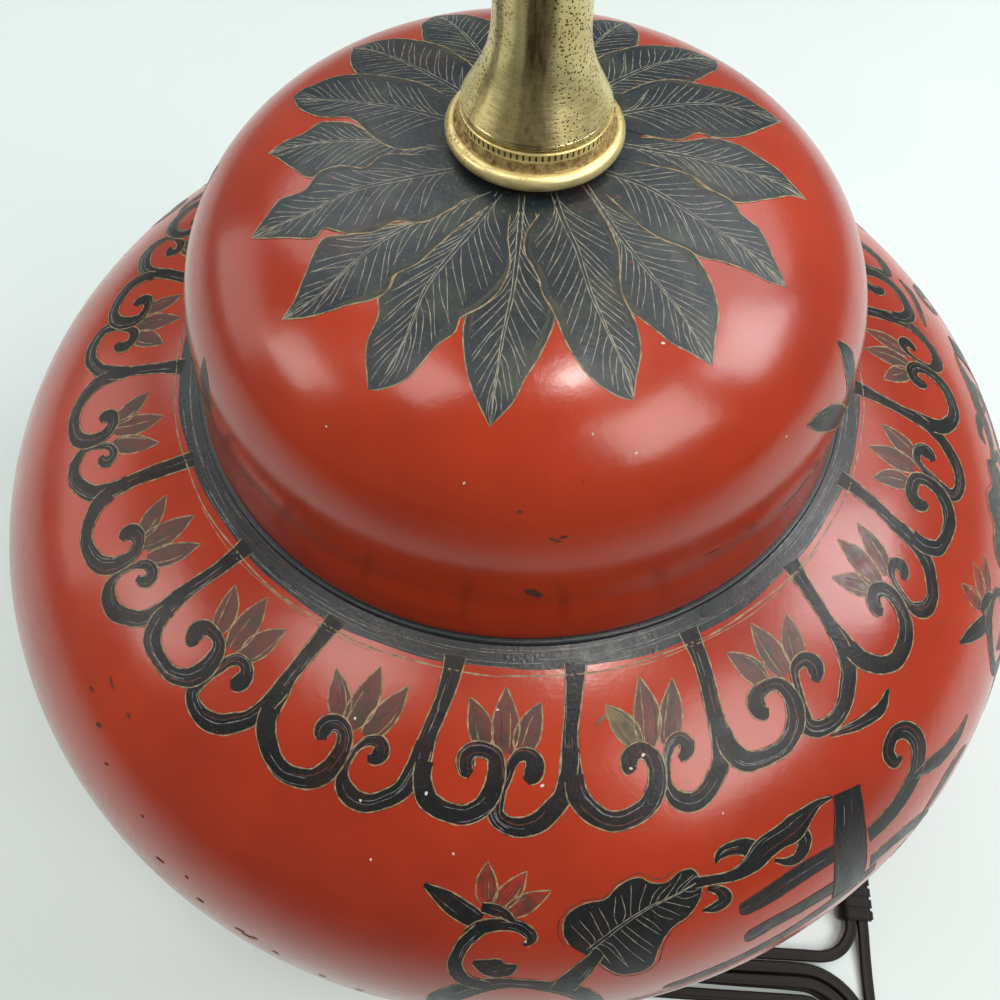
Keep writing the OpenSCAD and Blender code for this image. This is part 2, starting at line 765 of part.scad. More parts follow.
// Finial: foot, waist, ball and tip, bored for the stud
module finial() {
    z0 = leg_z + joint_gap + harp_h + hub_h / 2 + disc_top_t + joint_gap;
    neck_top = finial_h / 3;
    neck_r_top = finial_waist_r + metal_t;
    ball_z = neck_top + sqrt(finial_ball_r * finial_ball_r - neck_r_top * neck_r_top);
    waist = cubic_curve([finial_foot_r, disc_top_t], [finial_waist_r, 2 * disc_top_t],
        [finial_waist_r, neck_top - disc_top_t], [neck_r_top, neck_top], 10);
    low = acos(neck_r_top / finial_ball_r) - 4;
    color("goldenrod") translate([0, 0, z0]) difference() {
        rotate_extrude() polygon(concat(
            [[0, 0], [finial_foot_r, 0]],
            waist,
            arc([0, ball_z], finial_ball_r, -low, 68, 18),
            arc([0, finial_h - finial_tip_r], finial_tip_r, -50, 90, 10)));
        translate([0, 0, -over]) cylinder(r = stud_r + run_clear, h = finial_bore_h + over);
    }
}

// Two insulated wires from the bushing, through the base and up the rod into the cap
module inner_leads() {
    top_z = rod_top + core_wire_gap;
    color("dimgray") for (side = [-1, 1]) {
        rotate([0, 0, cord_angle]) translate([lead_bend, side * core_wire_gap, lead_z])
            rotate([0, 90, 0]) cylinder(r = core_wire_r, h = base_r - bushing_in - lead_bend);
        rotate([0, 0, cord_angle]) translate([lead_bend, side * core_wire_gap, lead_z + lead_bend])
            rotate([90, 0, 0]) rotate([0, 0, 180]) rotate_extrude(angle = 90)
                translate([lead_bend, 0]) circle(r = core_wire_r, $fn = 32);
        rotate([0, 0, cord_angle]) translate([0, side * core_wire_gap, lead_z + lead_bend])
            cylinder(r = core_wire_r, h = top_z - lead_z - lead_bend);
    }
}

// Sweeps a flat oval along points that lie close to level, with closed ends
module cord_tube(path, sides) {
    n = len(path);
    wide = cord_w / 2;
    tall = cord_t / 2 / (sides == 6 ? sin(60) : cos(180 / sides));
    shift = sides == 6 ? 0 : 180 / sides;
    across = sides == 6 ? wide : wide / cos(180 / sides);
    function heading(i) = let (d = path[min(i + 1, n - 1)] - path[max(i - 1, 0)]) d / norm(d);
    points = [for (i = [0:n - 1]) let (
            t = heading(i),
            s = cross([0, 0, 1], t) / norm(cross([0, 0, 1], t)),
            u = cross(t, s))
        for (k = [0:sides - 1]) let (a = shift + 360 * k / sides)
            path[i] + across * cos(a) * s + tall * sin(a) * u];
    walls = [for (i = [0:n - 2], k = [0:sides - 1]) let (
            a = i * sides + k,
            b = i * sides + (k + 1) % sides)
        each [[a, b, b + sides], [a, b + sides, a + sides]]];
    caps = [
        for (k = [1:sides - 2]) [0, k + 1, k],
        for (k = [1:sides - 2]) let (e = (n - 1) * sides) [e, e + k, e + k + 1]];
    polyhedron(points, [for (f = concat(walls, caps)) [f[0], f[2], f[1]]]);
}

module cord_lead() {
    color("saddlebrown") cord_tube(lead_route, cord_sides);
}

module cord_tail() {
    color("saddlebrown") cord_tube(tail_route, cord_sides);
}

// Place on a loop of a given fold radius, i rings after its rightmost point, clockwise
function on_loop(i, r) =
    i < 4 ? [run_half + r * cos(22.5 * i), -r * sin(22.5 * i)] :
    i < 8 ? [run_half * (1 - (i - 4) / 2), -r] :
    i < 16 ? [-run_half - r * sin(22.5 * (i - 8)), -r * cos(22.5 * (i - 8))] :
    i < 20 ? [run_half * ((i - 16) / 2 - 1), r] :
    [run_half + r * sin(22.5 * (i - 20)), r * cos(22.5 * (i - 20))];

// Fold radius after t loops: steadily in, quickly to the waist, level there, and out again
waist_at = spiral_loops + 0.5;
whole = 2 * spiral_loops + 1.5;
function folded(t) =
    t < spiral_loops ? fold_r + (fold_in_r - fold_r) * t / spiral_loops :
    t < waist_at ? fold_in_r + (fold_waist_r - fold_in_r) * 2 * (t - spiral_loops) :
    t < waist_at + 0.5 ? fold_waist_r :
    t < waist_at + 1 ? fold_waist_r + (fold_in_r - fold_waist_r) * 2 * (t - waist_at - 0.5) :
    fold_in_r + (fold_out_r - fold_in_r) * (t - waist_at - 1) / (whole + 8 / loop_rings - waist_at - 1);

// Height after t loops: the climb is along the top run at the waist
climb_at = waist_at + 4 / loop_rings;
function layer(t) = layer_z[0] + (layer_z[1] - layer_z[0])
    * max(0, min(1, (t - climb_at) * loop_rings / 4));

hank_rings = whole * loop_rings + 8;
hank_path = concat(
    [[hank_at[0] + run_half + fold_r, hank_at[1] + end_run, layer_z[0]]],
    [for (k = [0:hank_rings]) let (t = k / loop_rings, p = on_loop(k % loop_rings, folded(t)))
        [hank_at[0] + p[0], hank_at[1] + p[1], layer(t)]],
    [[hank_at[0] + run_half + end_run, hank_at[1] + fold_out_r, layer_z[1]]]);

module cord_hank() {
    color("saddlebrown") cord_tube(hank_path, hank_sides);
}

// Least gap of the hank to itself: the larger of the gap beside and the gap above
function gap(p, q) = max(norm([p[0] - q[0], p[1] - q[1]]) - cord_w, abs(p[2] - q[2]) - cord_t);
hank_gap = min([for (i = [0:hank_rings - loop_rings / 2]) for (j = [i + loop_rings / 2:hank_rings])
    gap(hank_path[i], hank_path[j])]);
echo(hank_least_gap = hank_gap);
echo(hank_length = sum_of([for (i = [1:len(hank_path) - 1]) norm(hank_path[i] - hank_path[i - 1])]));
function sum_of(list, i = 0) = i < len(list) ? list[i] + sum_of(list, i + 1) : 0;

// Tie: four laps round the two strands, lying across them
module cord_tie() {
    length = tie_laps * tie_pitch;
    color("saddlebrown")
        translate([tie_at[0], tie_at[1], tie_z]) rotate([90, 0, 0]) difference() {
            union() {
                linear_extrude(length) tie_outline(tie_core_t);
                for (i = [0:tie_laps - 1])
                    translate([0, 0, i * tie_pitch + (tie_pitch - tie_rib) / 2])
                        linear_extrude(tie_rib) tie_outline(tie_t);
            }
            translate([0, 0, -over]) linear_extrude(length + 2 * over) tie_outline(0);
        }
}

// Oval round both strands, grown by the thickness of the lap
module tie_outline(t) {
    r = cord_t / 2 + tie_clear + t;
    half = tie_span / 2 + (cord_w - cord_t) / 2;
    square([2 * half, 2 * r], center = true);
    for (side = [-1, 1]) translate([side * half, 0]) circle(r = r);
}

// Plug: tapered body with grip ribs, lying flat on the table
module plug_body() {
    color("saddlebrown") plug_place() difference() {
        hull() for (z = [-1, 1], y = [-1, 1]) {
            plug_edge(plug_round, y * (plug_neck_w / 2 - plug_round), z);
            plug_edge(plug_l - plug_round, y * (plug_w / 2 - plug_round), z);
        }
        for (side = [-1, 1], i = [0:grip_ribs - 1])
            translate([plug_l / 3 + i * grip_pitch, -plug_w, grip_low(side)])
                cube([grip_w, 2 * plug_w, grip_depth + over]);
        for (side = [-1, 1]) translate([plug_l - blade_in, blade_y(side), -blade_w / 2])
            cube([blade_in + over, blade_t, blade_w]);
    }
}

module plug_place() {
    translate([plug_at[0], plug_at[1], plug_t / 2 + plug_low]) rotate([0, 0, plug_turn]) children();
}

// One of the rounds that the plug's hull is drawn over
module plug_edge(x, y, z) {
    translate([x, y, z * (plug_t / 2 - plug_chamfer) - plug_chamfer])
        cylinder(r = plug_round, h = 2 * plug_chamfer, $fn = 32);
}

// Where a grip groove starts in height, and a blade across the plug
function grip_low(side) = side > 0 ? plug_t / 2 - grip_depth : -plug_t / 2 - over;
function blade_y(side) = side * blade_gap / 2 - blade_t / 2;

module plug_blades() {
    hole_x = plug_l + blade_l - 2 * blade_hole_r - blade_t;
    color("goldenrod") plug_place() for (side = [-1, 1]) difference() {
        translate([plug_l - blade_in, blade_y(side), -blade_w / 2])
            cube([blade_in + blade_l, blade_t, blade_w]);
        translate([hole_x, side * blade_gap / 2 + blade_t, 0]) rotate([90, 0, 0])
            cylinder(r = blade_hole_r, h = 2 * blade_t, $fn = 32);
    }
}

felt_pad();
base_plinth();
base_washer();
base_nut();
centre_rod();
cord_bushing();
jar_body();
jar_lid();
seating_ring();
reeded_ring();
neck_spindle();
lower_collar();
upper_neck();
upper_collar();
harp_saddle();
lock_nut();
socket_cap();
set_screw();
socket_shell();
insulating_sleeve();
socket_core();
screw_shell();
centre_contact();
terminal_screws();
switch_knob();
switch_shaft();
harp_bow();
harp_stud();
harp_ferrule_left();
harp_ferrule_right();
finial();
inner_leads();
cord_lead();
cord_hank();
cord_tail();
cord_tie();
plug_body();
plug_blades();
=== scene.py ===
"""Looks of a table lamp made from a red lacquered ginger jar with a domed lid.

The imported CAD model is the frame. Each operator dresses one group of its pieces, in metres and in
the same place, and the ornament is laid on the lid and the jar as thin painted shapes.
"""

import math
import random
from collections import namedtuple

import bmesh
import bpy
from bpy.props import FloatProperty, FloatVectorProperty, PointerProperty
from mathutils import Matrix, Vector


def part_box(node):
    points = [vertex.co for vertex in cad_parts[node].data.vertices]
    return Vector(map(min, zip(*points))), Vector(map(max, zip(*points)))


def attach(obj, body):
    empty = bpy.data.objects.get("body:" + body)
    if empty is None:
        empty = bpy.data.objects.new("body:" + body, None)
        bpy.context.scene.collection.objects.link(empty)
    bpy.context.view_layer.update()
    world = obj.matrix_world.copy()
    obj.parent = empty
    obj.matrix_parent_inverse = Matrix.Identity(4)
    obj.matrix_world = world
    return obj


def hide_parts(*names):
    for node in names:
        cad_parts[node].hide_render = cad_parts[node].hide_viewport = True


bl_info = {
    "name": "Ginger Jar Lamp",
    "version": (1, 0, 0),
    "blender": (4, 5, 0),
    "location": "3D View > Sidebar > Lamp",
    "description": "Dresses the frame of a lacquered ginger jar lamp and paints its ornament",
    "category": "Object",
}

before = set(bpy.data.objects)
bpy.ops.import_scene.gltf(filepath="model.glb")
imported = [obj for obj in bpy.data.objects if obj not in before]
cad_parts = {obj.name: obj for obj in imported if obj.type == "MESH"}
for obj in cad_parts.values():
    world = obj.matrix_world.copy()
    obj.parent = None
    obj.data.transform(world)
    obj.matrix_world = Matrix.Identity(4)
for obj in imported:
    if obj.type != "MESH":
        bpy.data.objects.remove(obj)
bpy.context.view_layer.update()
MM = 0.001


def srgb(red, green, blue):
    """A colour given as 0 to 255 on screen, as Blender's linear values."""
    parts = [v / 255 for v in (red, green, blue)]
    return tuple(v / 12.92 if v <= 0.04045 else ((v + 0.055) / 1.055) ** 2.4 for v in parts)


def colour(title, shade, words):
    return FloatVectorProperty(name=title, description=words, subtype="COLOR", size=3, min=0, max=1, default=shade)


def length(title, size, words):
    return FloatProperty(name=title, description=words, unit="LENGTH", default=size)


def degrees(title, size, words):
    return FloatProperty(name=title, description=words, subtype="ANGLE", default=math.radians(size))


class LacquerSettings(bpy.types.PropertyGroup):
    """Colours and gloss of the lacquered jar and its painted ornament."""

    red: colour("Red lacquer", srgb(177, 57, 25), "Ground colour of the jar and lid")
    deep_red: colour("Deep red", srgb(142, 40, 19), "Darker patches in the ground")
    slate: colour("Slate paint", srgb(25, 35, 41), "Dark leaves on the lid")
    ink: colour("Ink paint", srgb(28, 29, 30), "Bands and scrolls on the jar")
    olive: colour("Olive tint", srgb(60, 66, 54), "Olive tint at the edges of the dark paint")
    line: colour("Tan line", srgb(156, 139, 104), "Incised outlines on the jar")
    vein: colour("Vein", srgb(148, 144, 128), "Outlines and veins of the leaves on the lid")
    petal: colour("Petal", srgb(96, 40, 30), "Red-brown petals")
    gloss: FloatProperty(name="Roughness", description="Roughness of the lacquer", default=0.19, min=0, max=1)


class JarSettings(bpy.types.PropertyGroup):
    """Sizes of the lid's and jar's outlines, read from the frame."""

    belly: length("Belly radius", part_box("jar_body")[1].x, "Largest radius of the jar")
    belly_height: length("Belly height", 0.178, "Height of the widest place above the table")
    foot: length("Foot radius", 0.1, "Radius of the jar's foot")
    ledge: length("Ledge height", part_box("jar_lid")[0].z, "Height of the ledge that carries the lid")
    lid_rim: length("Lid radius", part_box("jar_lid")[1].x, "Radius of the lid at its rim")
    lid_top: length("Lid top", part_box("jar_lid")[1].z, "Height of the lid's crown")


class BrassSettings(bpy.types.PropertyGroup):
    """Colours and wear of the brass."""

    bright: colour("Bright brass", srgb(248, 232, 166), "Polished places")
    dull: colour("Dull brass", srgb(206, 184, 118), "Handled places")
    # painted reflection: colour of the dark bands up the neck, which stand in for the dark surroundings that it
    # reflects
    reflection_band: colour("Painted reflection band", srgb(84, 66, 36), "Brown stripes up the neck")
    pit: colour("Pits", srgb(52, 38, 22), "Dark pits and dirt")


class CordSettings(bpy.types.PropertyGroup):
    """Size and colour of the flat cord."""

    width: length("Width", 0.0054, "Width across both cores")
    thick: length("Thickness", 0.0028, "Thickness through one core")
    brown: colour("Brown cover", srgb(24, 20, 18), "Colour of the cord, tie and plug")


class StageSettings(bpy.types.PropertyGroup):
    """Camera, floor and light."""

    focal: FloatProperty(name="Focal length", description="In millimetres on a 36 mm frame", default=32.4)
    eye: FloatVectorProperty(name="Eye", description="Place of the camera", size=3, default=(0, -0.1813, 0.4916))
    pitch: degrees("Pitch", 60.39, "Angle below the horizon")
    yaw: degrees("Yaw", -0.70, "Turn to the right")
    roll: degrees("Roll", 3.67, "Tilt of the frame")
    floor_shade: colour("Floor", srgb(219, 232, 230), "Pale table top")


# Outlines, all lengths in millimetres. A skin is the places where (r / radius) ** power +
# (z / height) ** power is 1, with a height and a power above its middle and others below it.
Skin = namedtuple("Skin", "radius above below power_above power_below middle")
LID_SKIN = Skin(94.7, 60.0, 400.0, 2.74, 2.0, 288.0)
JAR_SKIN = Skin(182.0, 100.74, 180.7, 2.67, 2.0, 178.0)
ROD_HOLE = 5.3
NECK_FOOT, NECK_TALL = 357.6, 32.4


def direction(angle, rise):
    """A unit vector at an angle round Z and a rise over the level, both in degrees."""
    a, e = math.radians(angle), math.radians(rise)
    return Vector((math.cos(a) * math.cos(e), math.sin(a) * math.cos(e), math.sin(e)))


def settle(point, skin, lift):
    """The place on a skin in line with a point and the skin's middle, raised by lift."""
    r, z = math.hypot(point.x, point.y), point.z - skin.middle
    height, power = (skin.above, skin.power_above) if z >= 0 else (skin.below, skin.power_below)
    share = ((r / skin.radius) ** power + (abs(z) / height) ** power) ** (-1 / power)
    r1, z1 = r * share, z * share
    slope = Vector((r1 ** (power - 1) / skin.radius**power, abs(z1) ** (power - 1) / height**power)).normalized()
    r1 += slope.x * lift
    z1 += math.copysign(slope.y, z1) * lift
    return Vector((point.x / r * r1, point.y / r * r1, skin.middle + z1)) if r else Vector((0, 0, skin.middle + z1))


def on_skin(angle, r, skin, lift=0.0):
    """A point on the upper part of a skin at an angle in degrees and a radius."""
    z = skin.above * max(0.0, 1 - (r / skin.radius) ** skin.power_above) ** (1 / skin.power_above)
    a = math.radians(angle)
    return settle(Vector((r * math.cos(a), r * math.sin(a), skin.middle + z)), skin, lift)


def at_angles(angle, rise, skin, lift=0.0):
    """The place on a skin at an angle round the axis and a rise from its middle."""
    out = direction(angle, rise) * 100
    out.z += skin.middle
    return settle(out, skin, lift)


def smooth_path(points, steps):
    """A Catmull-Rom line through points, with so many steps between each two."""
    ends = [points[0] * 2 - points[1], *points, points[-1] * 2 - points[-2]]
    made = []
    for a, b, c, d in zip(ends, ends[1:], ends[2:], ends[3:]):
        for i in range(steps):
            t = i / steps
            start = 2 * b + (c - a) * t
            made.append(0.5 * (start + (2 * a - 5 * b + 4 * c - d) * t * t + (3 * b - a - 3 * c + d) * t**3))
    return made + [points[-1].copy()]


# Meshes
def new_piece(name, mesh, kinds, body, *nodes, slot=None):
    """Links a finished mesh, gives it its kinds of finish and seats it on a body of the frame."""
    piece = bpy.data.objects.new(name, mesh)
    bpy.context.scene.collection.objects.link(piece)
    for kind in kinds:
        mesh.materials.append(finish(kind))
    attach(piece, body)
    if nodes:
        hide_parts(*nodes)
    return piece


def finish_mesh(bm, name, sharp=35, to_metres=True):
    """Closes a bmesh drawn in millimetres into a smooth mesh in metres."""
    if to_metres:
        bmesh.ops.scale(bm, vec=(MM, MM, MM), verts=bm.verts)
    mesh = bpy.data.meshes.new(name)
    bm.to_mesh(mesh)
    bm.free()
    mesh.shade_smooth()
    mesh.set_sharp_from_angle(angle=math.radians(sharp))
    return mesh


def spun(points, steps):
    """A bmesh turned round Z from a closed line of (radius, height) points, in millimetres."""
    bm = bmesh.new()
    verts = [bm.verts.new((r, 0, z)) for r, z in points]
    for a, b in zip(verts, verts[1:] + verts[:1]):
        bm.edges.new((a, b))
    bmesh.ops.spin(bm, geom=bm.verts[:] + bm.edges[:], axis=(0, 0, 1), cent=(0, 0, 0), steps=steps,
                   angle=math.tau, use_merge=True)
    bmesh.ops.remove_doubles(bm, verts=bm.verts, dist=1e-4)
    bmesh.ops.recalc_face_normals(bm, faces=bm.faces)
    return bm


def turned_piece(name, bm, kinds, node, slot, second=None, sharp=40):
    """A piece of the lamp from a turned bmesh. Faces take the second kind of finish where second
    holds for their distance from the axis and their height."""
    if second:
        for f in bm.faces:
            c = f.calc_center_median()
            f.material_index = int(second(math.hypot(c.x, c.y), c.z))
    new_piece(name, finish_mesh(bm, name, sharp), kinds, "lamp", node, slot=slot)


def arc(cx, cz, r, start, end, steps):
    """Points on an arc from one angle to another, in degrees."""
    angles = [math.radians(start + (end - start) * i / steps) for i in range(steps + 1)]
    return [(cx + r * math.cos(a), cz + r * math.sin(a)) for a in angles]


def bezier(a, b, c, d, steps):
    """Points on a Bezier curve from a to d."""
    made = []
    for i in range(steps + 1):
        t = i / steps
        w = ((1 - t) ** 3, 3 * t * (1 - t) ** 2, 3 * t * t * (1 - t), t**3)
        made.append(tuple(sum(wi * p[k] for wi, p in zip(w, (a, b, c, d))) for k in (0, 1)))
    return made


def quarter(radius, height, power, r_end, steps):
    """Points of a superellipse from its side up to radius r_end."""
    end = math.acos((r_end / radius) ** (power / 2))
    angles = [end * i / steps for i in range(steps + 1)]
    return [(radius * math.cos(a) ** (2 / power), height * math.sin(a) ** (2 / power)) for a in angles]


# Finishes
def blank_finish(name):
    """A new material, its node tree and its shader."""
    m = bpy.data.materials.new(name)
    m.use_nodes = True
    return m, m.node_tree, m.node_tree.nodes["Principled BSDF"]


def put(tree, socket, value):
    """Links a socket to another one, or sets its constant. A colour is given without its alpha."""
    if isinstance(value, bpy.types.NodeSocket):
        tree.links.new(value, socket)
    else:
        socket.default_value = (*value, 1) if socket.type == "RGBA" else value


def feed(tree, node, **sockets):
    """Links or sets a node's sockets by their names."""
    for key, value in sockets.items():
        put(tree, node.inputs[key.replace("_", " ")], value)


def add(tree, kind, settings=None, **sockets):
    """A new shader node."""
    node = tree.nodes.new("ShaderNode" + kind)
    for key, value in (settings or {}).items():
        setattr(node, key, value)
    feed(tree, node, **sockets)
    return node


def noise_of(tree, vector, scale, detail=4.0, rough=0.55):
    return add(tree, "TexNoise", Vector=vector, Scale=scale, Detail=detail, Roughness=rough).outputs["Fac"]


def place(tree, scale=(1, 1, 1)):
    """Object coordinates, stretched."""
    coords = add(tree, "TexCoord").outputs["Object"]
    return add(tree, "Mapping", Vector=coords, Scale=scale).outputs["Vector"]


def ramp(tree, value, *stops):
    """A ramp through (position, grey) stops."""
    node = add(tree, "ValToRGB", Fac=value)
    line = node.color_ramp.elements
    while len(line) < len(stops):
        line.new(0.5)
    for element, (position, grey) in zip(line, stops):
        element.position, element.color = position, (grey, grey, grey, 1)
    return node.outputs["Color"]


def above(tree, value, low, high):
    """A ramp from 0 at low to 1 at high."""
    return ramp(tree, value, (low, 0.0), (high, 1.0))


def blend_of(tree, share, a, b, kind="MIX"):
    """Two colours mixed by a share."""
    node = add(tree, "Mix", {"data_type": "RGBA", "blend_type": kind})
    for i, value in ((0, share), (6, a), (7, b)):
        put(tree, node.inputs[i], value)
    return node.outputs[2]


def maths(tree, operation, *values):
    node = add(tree, "Math", {"operation": operation})
    for socket, value in zip(node.inputs, values):
        put(tree, socket, value)
    return node.outputs[0]


def mix_shaders(tree, share, a, b, output):
    """Mixes two shader nodes by a share into an output node's surface."""
    mixed = add(tree, "MixShader", Fac=share)
    put(tree, mixed.inputs[1], a.outputs[0])
    put(tree, mixed.inputs[2], b.outputs[0])
    feed(tree, tree.nodes[output], Surface=mixed.outputs[0])


def bumps(tree, shader, height, strength, distance):
    node = add(tree, "Bump", Height=height, Strength=strength, Distance=distance)
    feed(tree, shader, Normal=node.outputs["Normal"])


def lacquer_finish(s):
    """Deep red lacquer: cloudy ground, dark specks, fine pits and soft wear."""
    m, t, shader = blank_finish("Red lacquer")
    at = place(t)
    ground = blend_of(t, above(t, noise_of(t, at, 9, 5, 0.6), 0.35, 0.68), s.red, s.deep_red)
    fleck = above(t, noise_of(t, at, 900, 2, 0.5), 0.70, 0.76)
    speck = blend_of(t, 1.0, fleck, above(t, noise_of(t, at, 22, 3, 0.6), 0.55, 0.70), "MULTIPLY")
    rough = ramp(t, noise_of(t, at, 30, 6, 0.65), (0.3, s.gloss * 0.8), (0.75, s.gloss * 1.55))
    feed(t, shader, Base_Color=blend_of(t, speck, ground, srgb(72, 22, 14)), Roughness=rough,
         Specular_IOR_Level=0.42, Coat_Weight=0.2, Coat_Roughness=0.15)
    wave = blend_of(t, 0.35, noise_of(t, at, 110, 3, 0.5), noise_of(t, at, 480, 4, 0.6))
    bumps(t, shader, wave, 0.2, 0.0006)
    return m


def slate_finish(name, shade, tint, pale, gloss, shine=0.5):
    """Dark paint with a second tint, red showing through in flecks, and brush grain."""
    m, t, shader = blank_finish(name)
    at = place(t)
    ground = blend_of(t, above(t, noise_of(t, at, 70, 4, 0.6), 0.52, 0.74), shade, tint)
    wash = ramp(t, noise_of(t, place(t, (1, 1, 1.01)), 48, 5, 0.65), (0.56, 0.0), (0.72, 0.75))
    ground = blend_of(t, wash, ground, srgb(58, 36, 36))
    ground = blend_of(t, above(t, noise_of(t, at, 1400, 2, 0.5), 0.62, 0.76), ground, pale)
    worn = above(t, noise_of(t, at, 240, 4, 0.6), 0.70, 0.76)
    rough = ramp(t, noise_of(t, at, 200, 3), (0.3, gloss), (0.8, gloss + 0.18))
    feed(t, shader, Base_Color=blend_of(t, worn, ground, srgb(112, 44, 34)), Roughness=rough,
         Specular_IOR_Level=shine)
    bumps(t, shader, noise_of(t, at, 900, 3), 0.45, 0.0002)
    return m


def line_finish(name, shade, second):
    """Tan paint of the thin lines, worn darker in places."""
    m, t, shader = blank_finish(name)
    at = place(t)
    worn = above(t, noise_of(t, at, 420, 4, 0.7), 0.42, 0.62)
    rough = ramp(t, noise_of(t, at, 300, 2), (0.3, 0.4), (0.7, 0.6))
    feed(t, shader, Base_Color=blend_of(t, worn, shade, second), Roughness=rough)
    return m


def petal_finish(name, shade):
    """Thin paint of the petals, browner in places."""
    m, t, shader = blank_finish(name)
    at = place(t)
    tint = above(t, noise_of(t, at, 160, 5, 0.65), 0.40, 0.66)
    rough = ramp(t, noise_of(t, at, 260, 2), (0.3, 0.3), (0.7, 0.5))
    feed(t, shader, Base_Color=blend_of(t, tint, shade, srgb(58, 46, 36)), Roughness=rough)
    bumps(t, shader, noise_of(t, at, 700, 3), 0.25, 0.0003)
    return m


# Painted reflection: how strongly the dark brown bands show round the neck from -X by way of -Y. They stand in for the
# dark surroundings that the neck reflects. Also how pitted the neck is round it.
PAINTED_REFLECTION_BANDS = [(0.0, 0.1), (0.055, 0.0), (0.07, 0.1), (0.085, 0.85), (0.108, 0.8), (0.122, 0.0), (0.15, 0.0),
           (0.172, 0.5), (0.198, 0.5), (0.212, 0.9), (0.23, 1.0), (0.262, 1.0), (0.285, 0.6), (0.308, 0.05),
           (0.36, 0.25), (0.46, 0.15), (0.5, 0.0), (0.62, 0.7), (0.7, 0.15), (0.84, 0.6), (0.95, 0.15)]
PITTED = [(0.0, 0.2), (0.06, 0.55), (0.12, 0.1), (0.27, 0.0), (0.3, 1.0), (0.37, 1.0), (0.42, 0.7), (0.52, 0.3),
          (0.7, 0.6), (0.9, 0.2)]


def brass_finish(s, name, wear, streak=(1, 1, 1), scale=260, rough=0.2, metal=0.85, turned=False):
    """Brass with brush marks along a turning, dull patches and dark pits, and on a turned neck dark bands of painted
    reflection.
    """
    m, t, shader = blank_finish(name)
    at = place(t)
    lines = noise_of(t, place(t, streak), scale, 3, 0.6)
    ground = blend_of(t, above(t, noise_of(t, at, 60, 5, 0.6), 0.40, 0.70), s.bright, s.dull)
    ground = blend_of(t, 0.2, ground, ramp(t, lines, (0.35, 0.5), (0.65, 1.0)), "MULTIPLY")
    cell = add(t, "TexVoronoi", Vector=at, Scale=1300.0).outputs["Distance"]
    dots = ramp(t, cell, (0.22, 1.0), (0.38, 0.0))
    spread = noise_of(t, at, 60, 5, 0.7)
    # painted reflection: dark brown bands that are set by the angle round the neck and grow stronger higher up, where
    # the neck reflects dark surroundings; the pits are denser on some sides
    if turned:
        parts = add(t, "SeparateXYZ", Vector=add(t, "TexCoord").outputs["Object"]).outputs
        angle = maths(t, "MULTIPLY_ADD", maths(t, "ARCTAN2", parts["Y"], parts["X"]), 1 / math.tau, 0.5)
        shaken = maths(t, "MULTIPLY_ADD", noise_of(t, place(t, (1, 1, 0.3)), 320, 4, 0.6), 0.03, -0.015)
        angle = maths(t, "ADD", angle, shaken)
        rise = maths(t, "MULTIPLY_ADD", parts["Z"], 1 / (NECK_TALL * MM), -NECK_FOOT / NECK_TALL)
        deep = maths(t, "MULTIPLY", ramp(t, angle, *PAINTED_REFLECTION_BANDS), ramp(t, rise, (0.0, 0.75), (0.4, 0.85), (0.6, 1.0)))
        grain = ramp(t, noise_of(t, place(t, (1, 1, 0.12)), 900, 4, 0.6), (0.3, 0.75), (0.7, 1.1))
        ground = blend_of(t, maths(t, "MULTIPLY", deep, grain), ground, s.reflection_band)
        spread = maths(t, "MULTIPLY_ADD", ramp(t, angle, *PITTED), 0.27, spread)
    pits = blend_of(t, 1.0, dots, above(t, spread, 0.62 - wear, 0.72 - wear * 0.5), "MULTIPLY")
    polish = ramp(t, lines, (0.3, rough), (0.7, rough + 0.2))
    feed(t, shader, Base_Color=blend_of(t, pits, ground, s.pit),
         Metallic=blend_of(t, pits, (metal, metal, metal), (0.2, 0.2, 0.2)),
         Roughness=blend_of(t, pits, polish, (0.6, 0.6, 0.6)))
    depth = blend_of(t, pits, ramp(t, lines, (0.3, 0.5), (0.7, 0.6)), (0.0, 0.0, 0.0))
    bumps(t, shader, depth, 0.2, 0.0002)
    return m


def plain_finish(name, shade, second, rough, scale, metallic=0.0, streak=(1, 1, 1), depth=0.0002, shine=0.5):
    """A two-tone finish with grain, for wood, felt, steel, board and plastic."""
    m, t, shader = blank_finish(name)
    grain = noise_of(t, place(t, streak), scale, 5, 0.6)
    feed(t, shader, Base_Color=blend_of(t, above(t, grain, 0.35, 0.65), shade, second),
         Roughness=ramp(t, grain, (0.3, rough * 0.8), (0.7, min(1.0, rough * 1.25))),
         Metallic=metallic, Specular_IOR_Level=shine)
    bumps(t, shader, grain, 0.3, depth)
    return m


